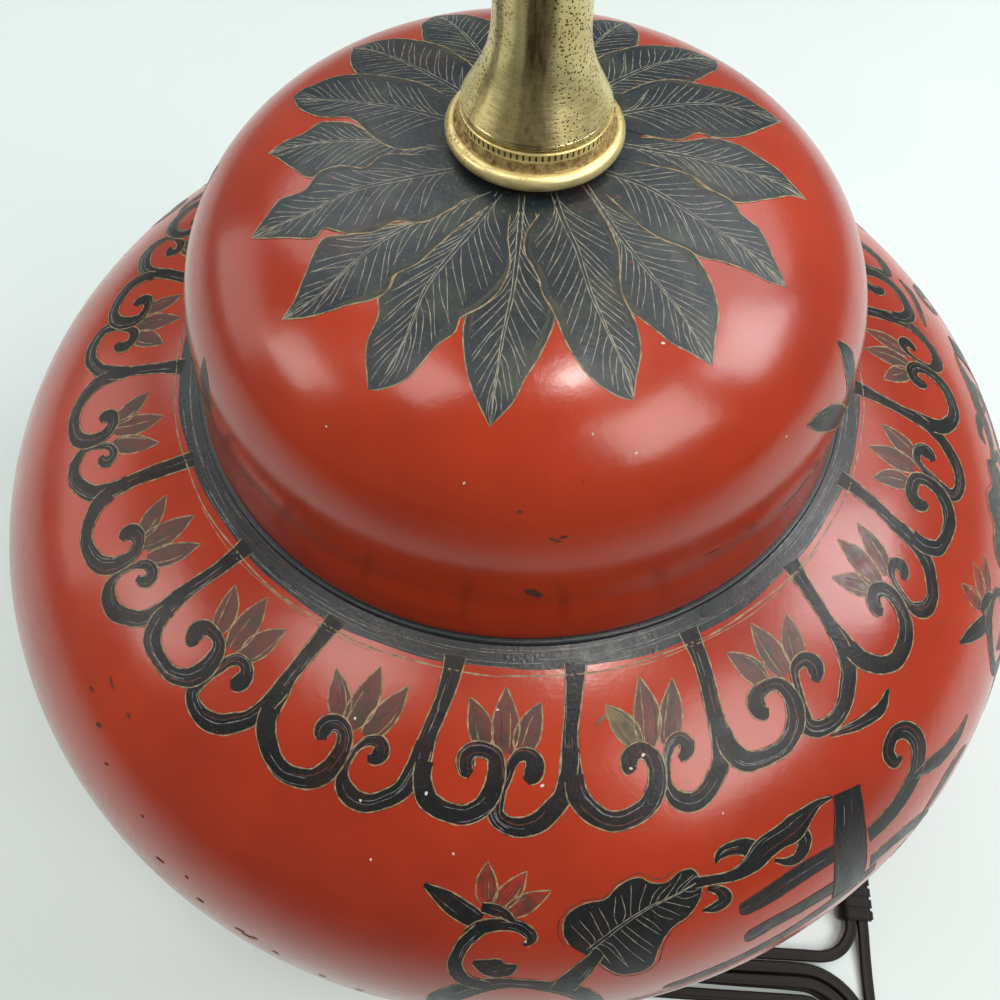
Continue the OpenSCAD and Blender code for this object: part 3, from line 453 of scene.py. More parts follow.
# Two-tone finishes: title, both colours, roughness, scale of the grain, and what else differs
TWO_TONE = {
    "gold_petal": ("Gold petal", (112, 94, 52), (70, 60, 40), 0.4, 260, {}),
    "olive": ("Olive smear", (64, 63, 46), (38, 44, 43), 0.5, 300, {}),
    "pale": ("Pale streak", (140, 146, 146), (84, 88, 90), 0.4, 500, {}),
    "brown": ("Brown streak", (96, 46, 36), (60, 36, 30), 0.4, 500, {}),
    "wear": ("Chip", (52, 30, 22), (96, 50, 34), 0.7, 900, {}),
    "speck": ("Dust speck", (222, 214, 196), (190, 180, 160), 0.7, 900, {}),
    "dirt": ("Dirt", (74, 55, 26), (108, 86, 46), 0.6, 600, {}),
    "stained": ("Stained brass", (206, 182, 124), (124, 96, 54), 0.42, 700, {"metallic": 0.6}),
    "plug": ("Plug", (34, 29, 26), (27, 23, 21), 0.4, 900, {"shine": 0.3}),
    "wood": ("Dark wood", (58, 32, 22), (30, 17, 13), 0.35, 60, {"streak": (1, 7, 7)}),
    "felt": ("Felt", (44, 56, 44), (28, 38, 30), 0.95, 2500, {"depth": 0.0005}),
    "steel": ("Zinc steel", (176, 176, 172), (130, 130, 128), 0.35, 300, {"metallic": 1.0}),
    "board": ("Fibre board", (150, 130, 98), (118, 100, 74), 0.9, 700, {}),
    "black": ("Black moulding", (26, 25, 25), (18, 17, 17), 0.28, 300, {}),
    "rubber": ("Rubber", (44, 37, 33), (34, 29, 26), 0.55, 700, {}),
}


finishes = {}


def finish(name):
    """Materials are made once, when a piece first asks for one."""
    if not finishes:
        scene = bpy.context.scene
        s, b, c = scene.lamp_lacquer, scene.lamp_brass, scene.lamp_cord
        finishes.update(
            lacquer=lacquer_finish(s),
            slate=slate_finish("Slate paint", s.slate, s.olive, srgb(76, 88, 88), 0.3),
            # the band paint also colours the painted shadow line where the lid meets the jar
            band=slate_finish("Band paint and painted shadow line", srgb(27, 34, 36), srgb(38, 42, 40), srgb(70, 78, 80), 0.24, 0.45),
            ink=slate_finish("Ink paint", s.ink, srgb(44, 38, 34), srgb(62, 64, 64), 0.26, 0.25),
            line=line_finish("Tan line", s.line, srgb(98, 84, 62)),
            vein=line_finish("Vein", s.vein, srgb(96, 98, 92)),
            petal=petal_finish("Petal", s.petal),
            red_petal=petal_finish("Red petal", srgb(150, 46, 30)),
            # the neck's finish carries dark bands of painted reflection
            neck=brass_finish(b, "Aged brass with painted reflections", 0.12, (0.3, 0.3, 4.0), 700, metal=0.72, turned=True),
            ring=brass_finish(b, "Worn brass", 0.14, (0.3, 0.3, 3.0), 500, 0.3, 0.72),
            brass=brass_finish(b, "Brass", 0.02, (0.1, 0.1, 3.0)),
            wire=brass_finish(b, "Brass wire", 0.03, (2.0, 2.0, 0.2)),
            cord=plain_finish("Cord cover", c.brown, srgb(30, 26, 23), 0.42, 500, shine=0.16),
        )
        for key, (title, first, second, rough, scale, extra) in TWO_TONE.items():
            finishes[key] = plain_finish(title, srgb(*first), srgb(*second), rough, scale, **extra)
    return finishes[name]


# Camera, floor and light
BACKDROP, BACKDROP_GLOW = srgb(232, 238, 236), 0.9
LIGHTS_AIM = Vector((0, 0, 0.3))
# Name, azimuth, rise, distance from the aim, width, depth, watts and colour of each soft light
LIGHTS = (
    ("Front_right", -38, 42, 2.6, 1.2, 1.2, 28, (255, 250, 246)),
    ("Right_window", 7, 38, 2.2, 0.8, 0.8, 19, (252, 250, 252)),
    ("Back_right", 45, 45, 2.6, 1.6, 1.6, 21.5, (252, 252, 252)),
    ("Back_left", 130, 45, 2.6, 1.6, 1.6, 18, (250, 252, 252)),
    ("Back_sky", 80, 60, 2.6, 2.4, 2.4, 5, (255, 252, 248)),
    ("Left_window", -169, 31, 2.0, 0.6, 0.6, 6, (255, 250, 244)),
    ("Low_left", 167, 15, 2.0, 1.2, 0.8, 4.2, (255, 250, 244)),
    ("Near_lamp", -148, 64, 2.0, 0.6, 0.6, 6.4, (255, 250, 244)),
    ("Overhead", -35, 75, 1.9, 0.3, 0.15, 8, (255, 250, 244)),
)


def aim_camera(scene, s):
    """Adds the camera, which looks along +Y and is turned by pitch, yaw and roll."""
    forward = Vector((0, math.cos(s.pitch), -math.sin(s.pitch)))
    right = Vector((1, 0, 0))
    up = right.cross(forward)
    look = forward * math.cos(s.yaw) + right * math.sin(s.yaw)
    side = right * math.cos(s.yaw) - forward * math.sin(s.yaw)
    across = side * math.cos(s.roll) + up * math.sin(s.roll)
    upward = up * math.cos(s.roll) - side * math.sin(s.roll)
    data = bpy.data.cameras.new("Camera")
    data.lens, data.sensor_width = s.focal, 36
    data.clip_start, data.clip_end = 0.01, 50
    camera = bpy.data.objects.new("Camera", data)
    scene.collection.objects.link(camera)
    camera.matrix_world = Matrix.Translation(s.eye) @ Matrix((across, upward, -look)).transposed().to_4x4()
    scene.camera = camera


def table_finish(shade):
    """Pale table top. For light that bounces off it, its colour is painted darker in front as painted shade, and far
    off it fades to the backdrop.
    """
    m, t, shader = blank_finish("Table top")
    at = place(t)
    cloud = above(t, noise_of(t, at, 2.5, 3), 0.3, 0.7)
    ground = blend_of(t, cloud, shade, tuple(v * 0.95 for v in shade))
    seen = add(t, "LightPath").outputs["Is Camera Ray"]
    parts = add(t, "SeparateXYZ", Vector=at).outputs
    # painted shade: rays that are not camera rays see the table darker in front of the lamp
    painted_front_shade = ramp(t, maths(t, "MULTIPLY", parts["Y"], -0.5), (0.16, 1.0), (0.4, 0.3))
    ground = blend_of(t, seen, blend_of(t, 1.0, ground, painted_front_shade, "MULTIPLY"), ground)
    feed(t, shader, Base_Color=ground, Roughness=0.6)
    far = add(t, "VectorMath", {"operation": "LENGTH"}, Vector=at).outputs["Value"]
    fade = maths(t, "MULTIPLY", above(t, maths(t, "MULTIPLY", far, 0.25), 0.25, 0.6), seen)
    mix_shaders(t, fade, shader, add(t, "Emission", Color=BACKDROP, Strength=BACKDROP_GLOW), "Material Output")
    return m


def lay_table(scene, s):
    """Adds the table top, just under the lamp."""
    bm = bmesh.new()
    bmesh.ops.create_grid(bm, x_segments=2, y_segments=2, size=6)
    floor = bpy.data.objects.new("Table_top", finish_mesh(bm, "Table_top", to_metres=False))
    scene.collection.objects.link(floor)
    floor.location.z = -0.0002
    floor.data.materials.append(table_finish(tuple(s.floor_shade)))


def light_room(scene):
    """Sets a bright backdrop that barely lights the lamp, and adds the soft lights."""
    world = bpy.data.worlds.new("World")
    world.use_nodes = True
    scene.world = world
    tree = world.node_tree
    seen = tree.nodes["Background"]
    feed(tree, seen, Color=BACKDROP, Strength=BACKDROP_GLOW)
    room = add(tree, "Background", Color=srgb(236, 238, 240), Strength=0.06)
    rays = add(tree, "LightPath").outputs
    share = maths(tree, "MULTIPLY_ADD", rays["Is Glossy Ray"], 0.22, rays["Is Camera Ray"])
    mix_shaders(tree, share, room, seen, "World Output")
    for name, azimuth, rise, far, wide, deep, watts, shade in LIGHTS:
        light = bpy.data.lights.new(name, "AREA")
        light.shape = "RECTANGLE"
        light.size, light.size_y, light.energy, light.color = wide, deep, watts, srgb(*shade)
        lamp = bpy.data.objects.new(name, light)
        scene.collection.objects.link(lamp)
        way = direction(azimuth, rise)
        lamp.location = LIGHTS_AIM + way * far
        lamp.rotation_mode = "QUATERNION"
        lamp.rotation_quaternion = way.to_track_quat("Z", "Y")


class LAMP_OT_stage(bpy.types.Operator):
    """Sets the camera, the pale table top and the soft lights"""

    bl_idname = "lamp.stage"
    bl_label = "Set the stage"

    def execute(self, context):
        scene = context.scene
        aim_camera(scene, scene.lamp_stage)
        lay_table(scene, scene.lamp_stage)
        light_room(scene)
        scene.view_settings.view_transform = "Standard"
        return {"FINISHED"}


# The cord: the same points as the part's source, in millimetres
LEAD_ROUTE = [
    (136, -24, 8.1), (144, -25.4, 8), (152, -28.5, 6.6), (160, -34, 4.4), (168, -42, 2.6),
    (175, -52, 1.8), (180.5, -64, 1.6), (184.5, -78, 1.6), (186.5, -90, 2.2), (187, -99, 3.4),
    (187, -108, 4.5), (187, -132, 4.5), (187, -141, 3.4), (187, -150, 2.2), (187, -160, 1.6),
    (187, -170, 1.6), (187, -178.6, 1.6)]
TAIL_ROUTE = [
    (158.4, -148, 5.1), (164.4, -148, 5.1), (170.6, -146.6, 4.9), (175.8, -143.2, 4.7),
    (179.4, -138.2, 4.6), (181.2, -132, 4.5), (181.2, -108, 4.5), (180.4, -101, 4.9),
    (177.6, -94.2, 5.8), (172, -88, 6.6), (166, -82, 6.6)]
# The hank is an oval of two straights and two half circles, spiralled in on the table, up a layer
# at its waist and out again. Each turn has 24 steps, 4 of them to a quarter circle or a straight.
HANK_AT, HANK_HALF = (99, -184), 54
HANK_OUT, HANK_IN, HANK_WAIST, HANK_END = 34, 22.2, 16.3, 36
HANK_LOW, HANK_HIGH = 1.6, 5.1
HANK_LOOPS, HANK_STEPS, HANK_EXTRA = 2, 24, 8
HANK_RUN_IN = 5.4


def hank_radius(t, last):
    """Radius of the hank's ends after t turns, of which there are last."""
    loops, waist = HANK_LOOPS, HANK_LOOPS + 0.5
    if t < loops:
        return HANK_OUT + (HANK_IN - HANK_OUT) * t / loops
    if t < waist:
        return HANK_IN + (HANK_WAIST - HANK_IN) * 2 * (t - loops)
    if t < waist + 0.5:
        return HANK_WAIST
    if t < waist + 1:
        return HANK_WAIST + (HANK_IN - HANK_WAIST) * 2 * (t - waist - 0.5)
    return HANK_IN + (HANK_END - HANK_IN) * (t - waist - 1) / (last - waist - 1)


def hank_points():
    """The hank's path, with a short straight at each end."""
    made = [(HANK_AT[0] + HANK_HALF + HANK_OUT, HANK_AT[1] + HANK_RUN_IN, HANK_LOW)]
    last = int((2 * HANK_LOOPS + 1.5) * HANK_STEPS + HANK_EXTRA)
    turn = math.radians(22.5)
    for k in range(last + 1):
        t, i = k / HANK_STEPS, k % HANK_STEPS
        r = hank_radius(t, last / HANK_STEPS)
        if i < 4:
            x, y = HANK_HALF + r * math.cos(turn * i), -r * math.sin(turn * i)
        elif i < 8:
            x, y = HANK_HALF * (1 - (i - 4) / 2), -r
        elif i < 16:
            x, y = -HANK_HALF - r * math.sin(turn * (i - 8)), -r * math.cos(turn * (i - 8))
        elif i < 20:
            x, y = HANK_HALF * ((i - 16) / 2 - 1), r
        else:
            x, y = HANK_HALF + r * math.sin(turn * (i - 20)), r * math.cos(turn * (i - 20))
        rise = max(0.0, min(1.0, (t - HANK_LOOPS - 0.5) * HANK_STEPS / 4 - 1))
        made.append((HANK_AT[0] + x, HANK_AT[1] + y, HANK_LOW + (HANK_HIGH - HANK_LOW) * rise))
    return made + [(HANK_AT[0] + HANK_HALF + HANK_RUN_IN, HANK_AT[1] + HANK_END, HANK_HIGH)]


def swept(name, path, outline, flat):
    """A mesh swept along a path in metres. Flat outlines stay level."""
    guide = bpy.data.curves.new(name + "_outline", "CURVE")
    guide.dimensions = "2D"
    spline = guide.splines.new("POLY")
    spline.points.add(len(outline) - 1)
    for point, (x, y) in zip(spline.points, outline):
        point.co = (x, y, 0, 1)
    spline.use_cyclic_u = True
    guide_piece = bpy.data.objects.new(name + "_outline", guide)
    curve = bpy.data.curves.new(name, "CURVE")
    curve.dimensions = "3D"
    curve.twist_mode = "Z_UP" if flat else "MINIMUM"
    curve.bevel_mode, curve.bevel_object, curve.use_fill_caps = "OBJECT", guide_piece, True
    spline = curve.splines.new("POLY")
    spline.points.add(len(path) - 1)
    for point, p in zip(spline.points, path):
        point.co = (*p, 1)
    line = bpy.data.objects.new(name, curve)
    for piece in (guide_piece, line):
        bpy.context.scene.collection.objects.link(piece)
    bpy.context.view_layer.update()
    made = bpy.data.meshes.new_from_object(line.evaluated_get(bpy.context.evaluated_depsgraph_get()))
    for piece in (line, guide_piece):
        bpy.data.objects.remove(piece)
    bm = bmesh.new()
    bm.from_mesh(made)
    bpy.data.meshes.remove(made)
    bmesh.ops.remove_doubles(bm, verts=bm.verts, dist=1e-6)
    bmesh.ops.recalc_face_normals(bm, faces=bm.faces)
    return finish_mesh(bm, name, 50, to_metres=False)


def two_core_outline(width, thick):
    """Outline of a flat cord: two round cores with a groove between them."""
    core = thick / 2
    middle = width / 2 - core
    made, steps = [], 28
    for i in range(steps):
        a = math.tau * i / steps
        x, y = math.cos(a), math.sin(a)
        made.append((math.copysign(middle, x) * min(1, abs(x) * 3) + core * x,
                     core * math.copysign(abs(y) ** 0.9, y) * (1 - 0.42 * math.exp(-((x / 0.22) ** 2)))))
    return made


class LAMP_OT_cord(bpy.types.Operator):
    """Lays the flat cord from the base through its hank and tie to the plug"""

    bl_idname = "lamp.cord"
    bl_label = "Lay the cord"

    def execute(self, context):
        s = context.scene.lamp_cord
        route = LEAD_ROUTE[:-1] + hank_points() + TAIL_ROUTE[1:]
        path = smooth_path([Vector(p) * MM for p in route], 4)
        mesh = swept("Flat_cord", path, two_core_outline(s.width, s.thick), True)
        cord = new_piece("Flat_cord", mesh, ["cord"], "lamp", "cord_lead", "cord_hank", "cord_tail",
                         slot="cord_cover")
        run = sum((b - a).length for a, b in zip(path, path[1:]))
        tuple(path[0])
        return {"FINISHED"}


# Jar and lid
class LAMP_OT_jar(bpy.types.Operator):
    """Turns the lacquered jar and its domed lid"""

    bl_idname = "lamp.jar"
    bl_label = "Turn the jar and lid"

    def execute(self, context):
        s = context.scene.lamp_jar
        belly, middle, foot = s.belly / MM, s.belly_height / MM, s.foot / MM
        ledge, rim, top = s.ledge / MM, s.lid_rim / MM, s.lid_top / MM
        wall, floor, floor_top = 7, 22.0, 31
        neck, mouth, neck_top = 89, 82, ledge + 20
        shoulder = quarter(belly, JAR_SKIN.above, JAR_SKIN.power_above, rim + 1.5, 48)
        lower = quarter(belly, JAR_SKIN.below, JAR_SKIN.power_below, foot, 40)
        outline = [(ROD_HOLE, floor), (foot - 1, floor), (foot, floor + 1)]
        outline += [(r, middle - z) for r, z in reversed(lower)]
        outline += [(r, middle + z) for r, z in shoulder[1:]]
        outline += arc(rim + 0.5, ledge - 1, 1, 0, 90, 6)
        outline += [(neck, ledge), (neck, neck_top), (mouth, neck_top), (mouth, ledge - wall)]
        outline += [(r - wall, middle + z - wall) for r, z in reversed(shoulder[:40:6])]
        outline += [(r - wall, middle - z + 3) for r, z in lower[6::6]]
        outline += [(foot - 9, floor_top), (ROD_HOLE, floor_top)]
        # painted shadow: the jar's lip and ledge next to the lid's rim take the dark band paint, as a shadow line at
        # the joint
        turned_piece("Jar", spun(outline, 256), ["lacquer", "band"], "jar_body", "red_lacquer",
                     lambda r, z: z > ledge - 1.1 and r > neck)

        waist, skirt, wall = LID_SKIN.radius, LID_SKIN.middle, 5.0
        dome = quarter(waist, LID_SKIN.above, LID_SKIN.power_above, 18.3, 64)
        inner = quarter(waist - wall, LID_SKIN.above - wall, LID_SKIN.power_above, 6, 24)
        outline = [(rim - wall, ledge + 0.3), (rim - wall + 0.4, ledge), (rim - 0.8, ledge)]
        outline += arc(rim - 0.8, ledge + 0.8, 0.8, -70, -10, 4)
        outline += [(rim + (waist - rim) * t / 6, ledge + (skirt - ledge) * t / 6) for t in range(1, 6)]
        outline += [(r, skirt + z) for r, z in dome]
        outline += [(18.2, top), (ROD_HOLE, top)]
        outline += [(r, skirt + z) for r, z in reversed(inner)]
        # painted shadow: the rounded foot of the lid's rim takes the dark band paint, as the shadow line where the lid
        # meets the jar
        turned_piece("Lid", spun(outline, 256), ["lacquer", "band"], "jar_lid", "red_lacquer",
                     lambda r, z: z < ledge + 0.65)
        return {"FINISHED"}


# Brass neck
REEDS, REED_STEPS, REED_DEPTH = 78, 6, 0.4


def reeded_ring(z):
    """A low ring with grooves cut into its side between the reeds."""
    bm = spun([(ROD_HOLE, z), (17.8, z), (17.9, z + 0.25), (17.8, z + 0.5), (17.75, z + 0.7), (17.75, z + 1.3),
               (17.75, z + 1.9), (17.8, z + 2.2), (17.6, z + 2.4), (ROD_HOLE, z + 2.4)], REEDS * REED_STEPS)
    for v in bm.verts:
        step = round(math.atan2(v.co.y, v.co.x) / math.tau * REEDS * REED_STEPS) % REED_STEPS
        r = math.hypot(v.co.x, v.co.y)
        if r > 17 and step == 0 and z + 0.6 < v.co.z < z + 1.6:
            share = (r - REED_DEPTH) / r
            v.co.x, v.co.y = v.co.x * share, v.co.y * share
    return bm


class LAMP_OT_neck(bpy.types.Operator):
    """Turns the brass foot ring, the reeded ring, the flared neck and the parts above it"""

    bl_idname = "lamp.neck"
    bl_label = "Turn the brass neck"

    def execute(self, context):
        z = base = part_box("seating_ring")[0].z / MM
        outline = [(ROD_HOLE, z), (18.3, z), (18.3, z + 1.6)] + arc(19.3, z + 3.4, 2.0, -100, 108, 30)
        outline += bezier((18.6, z + 5.4), (18.45, z + 5.8), (18.1, z + 6.6), (18.0, z + 7.2), 5)
        outline += [(ROD_HOLE, z + 7.2)]
        turned_piece("Foot_ring", spun(outline, 192), ["ring", "stained"], "seating_ring", "aged_brass",
                     lambda r, h: r < 19.1 and h > base + 4.8)

        z = reeds = z + 7.2
        turned_piece("Reeded_ring", reeded_ring(z), ["ring", "dirt"], "reeded_ring", "aged_brass",
                     lambda r, h: 16 < r < 17.68 and h < reeds + 2.2, 30)

        z += 2.4
        outline = [(ROD_HOLE, z), (16.5, z)] + arc(16.5, z + 0.9, 0.9, -90, 90, 14) + [(17.3, z + 1.85)]
        outline += bezier((17.4, z + 1.95), (10.5, z + 13.4), (10.4, z + 15.4), (10.6, z + NECK_TALL), 56)
        outline += [(ROD_HOLE, z + NECK_TALL)]
        turned_piece("Neck", spun(outline, 192), ["neck"], "neck_spindle", "aged_brass")

        z += NECK_TALL
        outline = [(ROD_HOLE, z), (10, z), (10, z + 0.8)] + arc(11.1, z + 2.9, 2.1, -90, 90, 16) + [(ROD_HOLE, z + 5)]
        turned_piece("Collar", spun(outline, 160), ["neck"], "lower_collar", "aged_brass")

        z += 5
        outline = [(ROD_HOLE, z)] + bezier((11.8, z), (11.8, z + 6.1), (7.4, z + 9.1), (7.4, z + 18.2), 24)
        outline += bezier((7.4, z + 18.2), (7.4, z + 23.8), (8.8, z + 23.8), (8.8, z + 29.4), 18)[1:]
        outline += [(ROD_HOLE, z + 29.4)]
        turned_piece("Upper_neck", spun(outline, 160), ["brass"], "upper_neck", "brass")

        z += 29.4
        outline = [(ROD_HOLE, z)] + arc(10.2, z + 2, 2, -90, 90, 14) + [(ROD_HOLE, z + 4)]
        turned_piece("Upper_collar", spun(outline, 160), ["brass"], "upper_collar", "brass")
        return {"FINISHED"}


# Painted ornament. Places on the lid are (angle, radius in millimetres) seen from above, and
# places on the jar are (angle, rise), both angles in degrees from the jar's middle.
LEAVES = [  # level, midrib, right edge and left edge, each from the brass ring to the tip
    (0, [(-95.8, 19.5), (-93.4, 32.6), (-93.1, 45.6), (-94, 56.2), (-94.2, 66.6), (-94.2, 74)],
     [(-104.7, 20.3), (-103.1, 32.4), (-103.2, 43.4), (-103.2, 53.3), (-102.3, 58.3), (-100.6, 63.1),
      (-98.2, 68.2), (-95.9, 71.6), (-94.2, 74.4)],
     [(-89, 19.2), (-85.1, 30.9), (-82, 41.6), (-81.9, 50.1), (-84, 56.1), (-86.4, 60.6), (-88.7, 64.7),
      (-90.9, 69.7), (-94.2, 74.4)]),
    (0, [(-50.2, 19.3), (-54.4, 31.3), (-54.9, 40.5), (-54.2, 48.7), (-53.5, 57.5), (-53.5, 65.4), (-53.3, 70)],
     [(-54.1, 20.3), (-57.1, 27.8), (-60.4, 35.8), (-64.1, 45.7), (-64.5, 52.5), (-62.8, 55.3), (-60.8, 58.8),
      (-58.7, 62.6), (-56.2, 65.9), (-53.3, 70)],
     [(-43.1, 19.1), (-45.3, 30.2), (-42.1, 38.8), (-39.4, 42.5), (-39.5, 46.7), (-40.2, 50.8), (-42.5, 56.3),
      (-45.5, 61.3), (-49.4, 65.3), (-53.3, 70)]),
    (1, [(-74.1, 18.5), (-73.7, 27.2), (-72.1, 35.9), (-72.2, 46.3), (-71, 56), (-69.7, 64.9), (-69.6, 70.5)],
     [(-83, 19.4), (-84.4, 24.3), (-90.5, 30.2), (-91.1, 35.2), (-88.4, 38.8), (-86, 42.8), (-85.2, 46),
      (-83.1, 49.6), (-81.1, 55.2), (-79.8, 59.1), (-78.2, 62.4), (-76.6, 65), (-74.6, 67.5), (-71.9, 69.8),
      (-69.7, 70.8)],
     [(-53.1, 19.8), (-54.5, 26.6), (-56, 31.8), (-57.9, 37.4), (-60.8, 42.3), (-64.1, 48), (-64.2, 53),
      (-64.4, 57.6), (-65.4, 61.8), (-67.8, 66.4), (-69.6, 70.5)]),
    (1, [(-30.8, 19.7), (-27, 28.2), (-27.4, 36.1), (-28.4, 44.4), (-27.9, 54.9), (-28.3, 62), (-28.7, 68.5)],
     [(-42.4, 21.4), (-45.5, 30.9), (-44.4, 39.8), (-40.2, 46.3), (-39.1, 50), (-35.6, 54.1), (-32.9, 59),
      (-31.3, 63.7), (-28.7, 68.5)],
     [(-16.6, 20.1), (-10.5, 28.1), (-9.7, 36.5), (-15.1, 42.1), (-14.6, 47), (-16.6, 49.9), (-18.8, 52.2),
      (-19.9, 56.7), (-22.8, 60.3), (-25.6, 63.4), (-28.7, 68.5)]),
    (2, [(-0.9, 21), (-2, 27.7), (-2.1, 37.4), (-2.4, 47.3), (-2.4, 57.7), (-3.6, 67.5)],
     [(-14.7, 19.9), (-12.5, 28.3), (-11.5, 37.9), (-14.4, 42.2), (-15.3, 47.1), (-15.4, 50.4), (-10.1, 56.5),
      (-4.9, 63), (-3.6, 67.5)],
     [(6, 21.1), (6.9, 28), (5.6, 35.3), (9.3, 43.4), (7.9, 50.5), (4.6, 55.8), (1.8, 60.8), (-1.5, 64.5),
      (-3.6, 67.5)]),
    (3, [(28.2, 22), (27, 34.7), (26.3, 45.8), (24.2, 55.6), (22.4, 62.5), (21.7, 69.1)],
     [(14.3, 22.1), (7.6, 28), (6.8, 35.4), (11.4, 40.6), (9.7, 44.8), (11.6, 51.9), (16, 59.1), (21.7, 69.1)],
     [(41.5, 23.2), (42.5, 36.8), (39.7, 45.7), (33.8, 53.6), (30.9, 60.1), (26.9, 63.9), (21.7, 69.1)]),
    (3, [(166, 21.8), (164, 32), (163.5, 40.2), (163.3, 48.6), (162.6, 57.6), (161.2, 65.6)],
     [(149.2, 22.8), (146, 33.9), (147.9, 42.7), (149.5, 50), (152.4, 59.6), (155.9, 63.6), (157.4, 66.5),
      (160.1, 67.4)],
     [(185.7, 22.4), (191.2, 29.7), (186.1, 35.6), (177.1, 41.1), (171, 46.1), (170.6, 51.5), (168.8, 57.1),
      (164.7, 63.1), (160.1, 67.4)]),
    (2, [(194.6, 21.7), (187.8, 29.6), (184.1, 36.8), (182, 44.2), (180.9, 51.8), (180.4, 59.7), (180, 65.4)],
     [(185.7, 22.4), (191.2, 29.7), (183, 36.9), (174.4, 44), (172.6, 49.6), (172.5, 53.6), (175.8, 56.7),
      (177.7, 61.6), (180, 65.4)],
     [(205.1, 21.3), (202.5, 28.4), (199.3, 35.2), (197.2, 42.1), (193.6, 49), (193.5, 53.9), (188.9, 57.5),
      (183.7, 61.7), (180, 65.4)]),
    (3, [(-145.5, 21.7), (-150.3, 28.4), (-153.7, 36.4), (-156, 45.7), (-155.3, 54.6), (-156.4, 63.1),
         (-157.6, 70.4)],
     [(-164.5, 21.4), (-164.2, 27.6), (-168.3, 35.7), (-164, 40.8), (-167.7, 46.5), (-167.5, 51.4),
      (-164.1, 54.1), (-162.7, 56.8), (-163.3, 61.7), (-160.8, 65.2), (-157.6, 70.4)],
     [(-117, 20.6), (-124.4, 26.2), (-126, 30.6), (-129.4, 36.6), (-136.9, 41.2), (-138.2, 46.1), (-142.5, 50.6),
      (-148.5, 54.4), (-147.5, 57.4), (-152.3, 63.1), (-157.6, 70.4)]),
    (2, [(-117, 20.6), (-128.5, 32.4), (-133.3, 41.9), (-134.6, 49.8), (-134.8, 56.9), (-134.9, 64.2),
         (-137.5, 73.1)],
     [(-124, 24.6), (-130.8, 37.4), (-137.1, 42.5), (-142.2, 50.7), (-145.9, 55.5), (-144.2, 59), (-141, 63.7),
      (-138.3, 68.5), (-137.5, 73.1)],
     [(-108.8, 21.5), (-118.5, 36.3), (-120.8, 45.5), (-124.1, 51), (-123, 54.6), (-124.6, 58.3), (-128.7, 62.5),
      (-132.5, 67.9), (-137.5, 73.1)]),
    (1, [(-110.1, 20.3), (-112.5, 33.8), (-114.5, 43), (-115.1, 50.9), (-114, 58), (-113.6, 63.6), (-114.1, 70.3)],
     [(-117.1, 22.7), (-121.5, 37.4), (-123.2, 46.7), (-123.9, 50.9), (-122.9, 54), (-123.8, 57.2),
      (-121.2, 60.2), (-120.3, 65.7), (-118.6, 69.3), (-116.8, 72.3), (-115.9, 73.9)],
     [(-100.3, 19.8), (-98.6, 30.3), (-95.1, 39.5), (-96.6, 46), (-100.5, 51), (-104.3, 54.2), (-104.3, 57.5),
      (-107.2, 61.7), (-108.7, 66), (-110.3, 69.7), (-113.1, 72.5), (-115.3, 74)]),
]
# Leaves behind the neck: level, angle at the ring and at the tip, reach, half width, and whether the end is round
BACK_LEAVES = [(2, 52, 46, 70, 11, True), (1, 72, 69.5, 68, 11, True), (0, 93, 92.5, 70, 11.5, False),
               (1, 114, 115.5, 70, 12, True), (2, 140, 138.3, 68, 12, True)]
BLUNT_SHAPE = [0.55, 0.75, 0.92, 1, 0.97, 0.9, 0.74, 0.5]
POINTED_SHAPE = [0.5, 0.72, 0.92, 1, 0.93, 0.78, 0.5, 0.2]
# Angles of the lines between the cells of the shoulder's band
STEMS = [-152.5, -133.2, -114.9, -96.2, -79.4, -61.2, -41.7, -22.8, -3.8, 15.4, 34.6, 53.9, 73.1, 92.3, 111.5,
         130.7, 150, 169.2, 188.4]
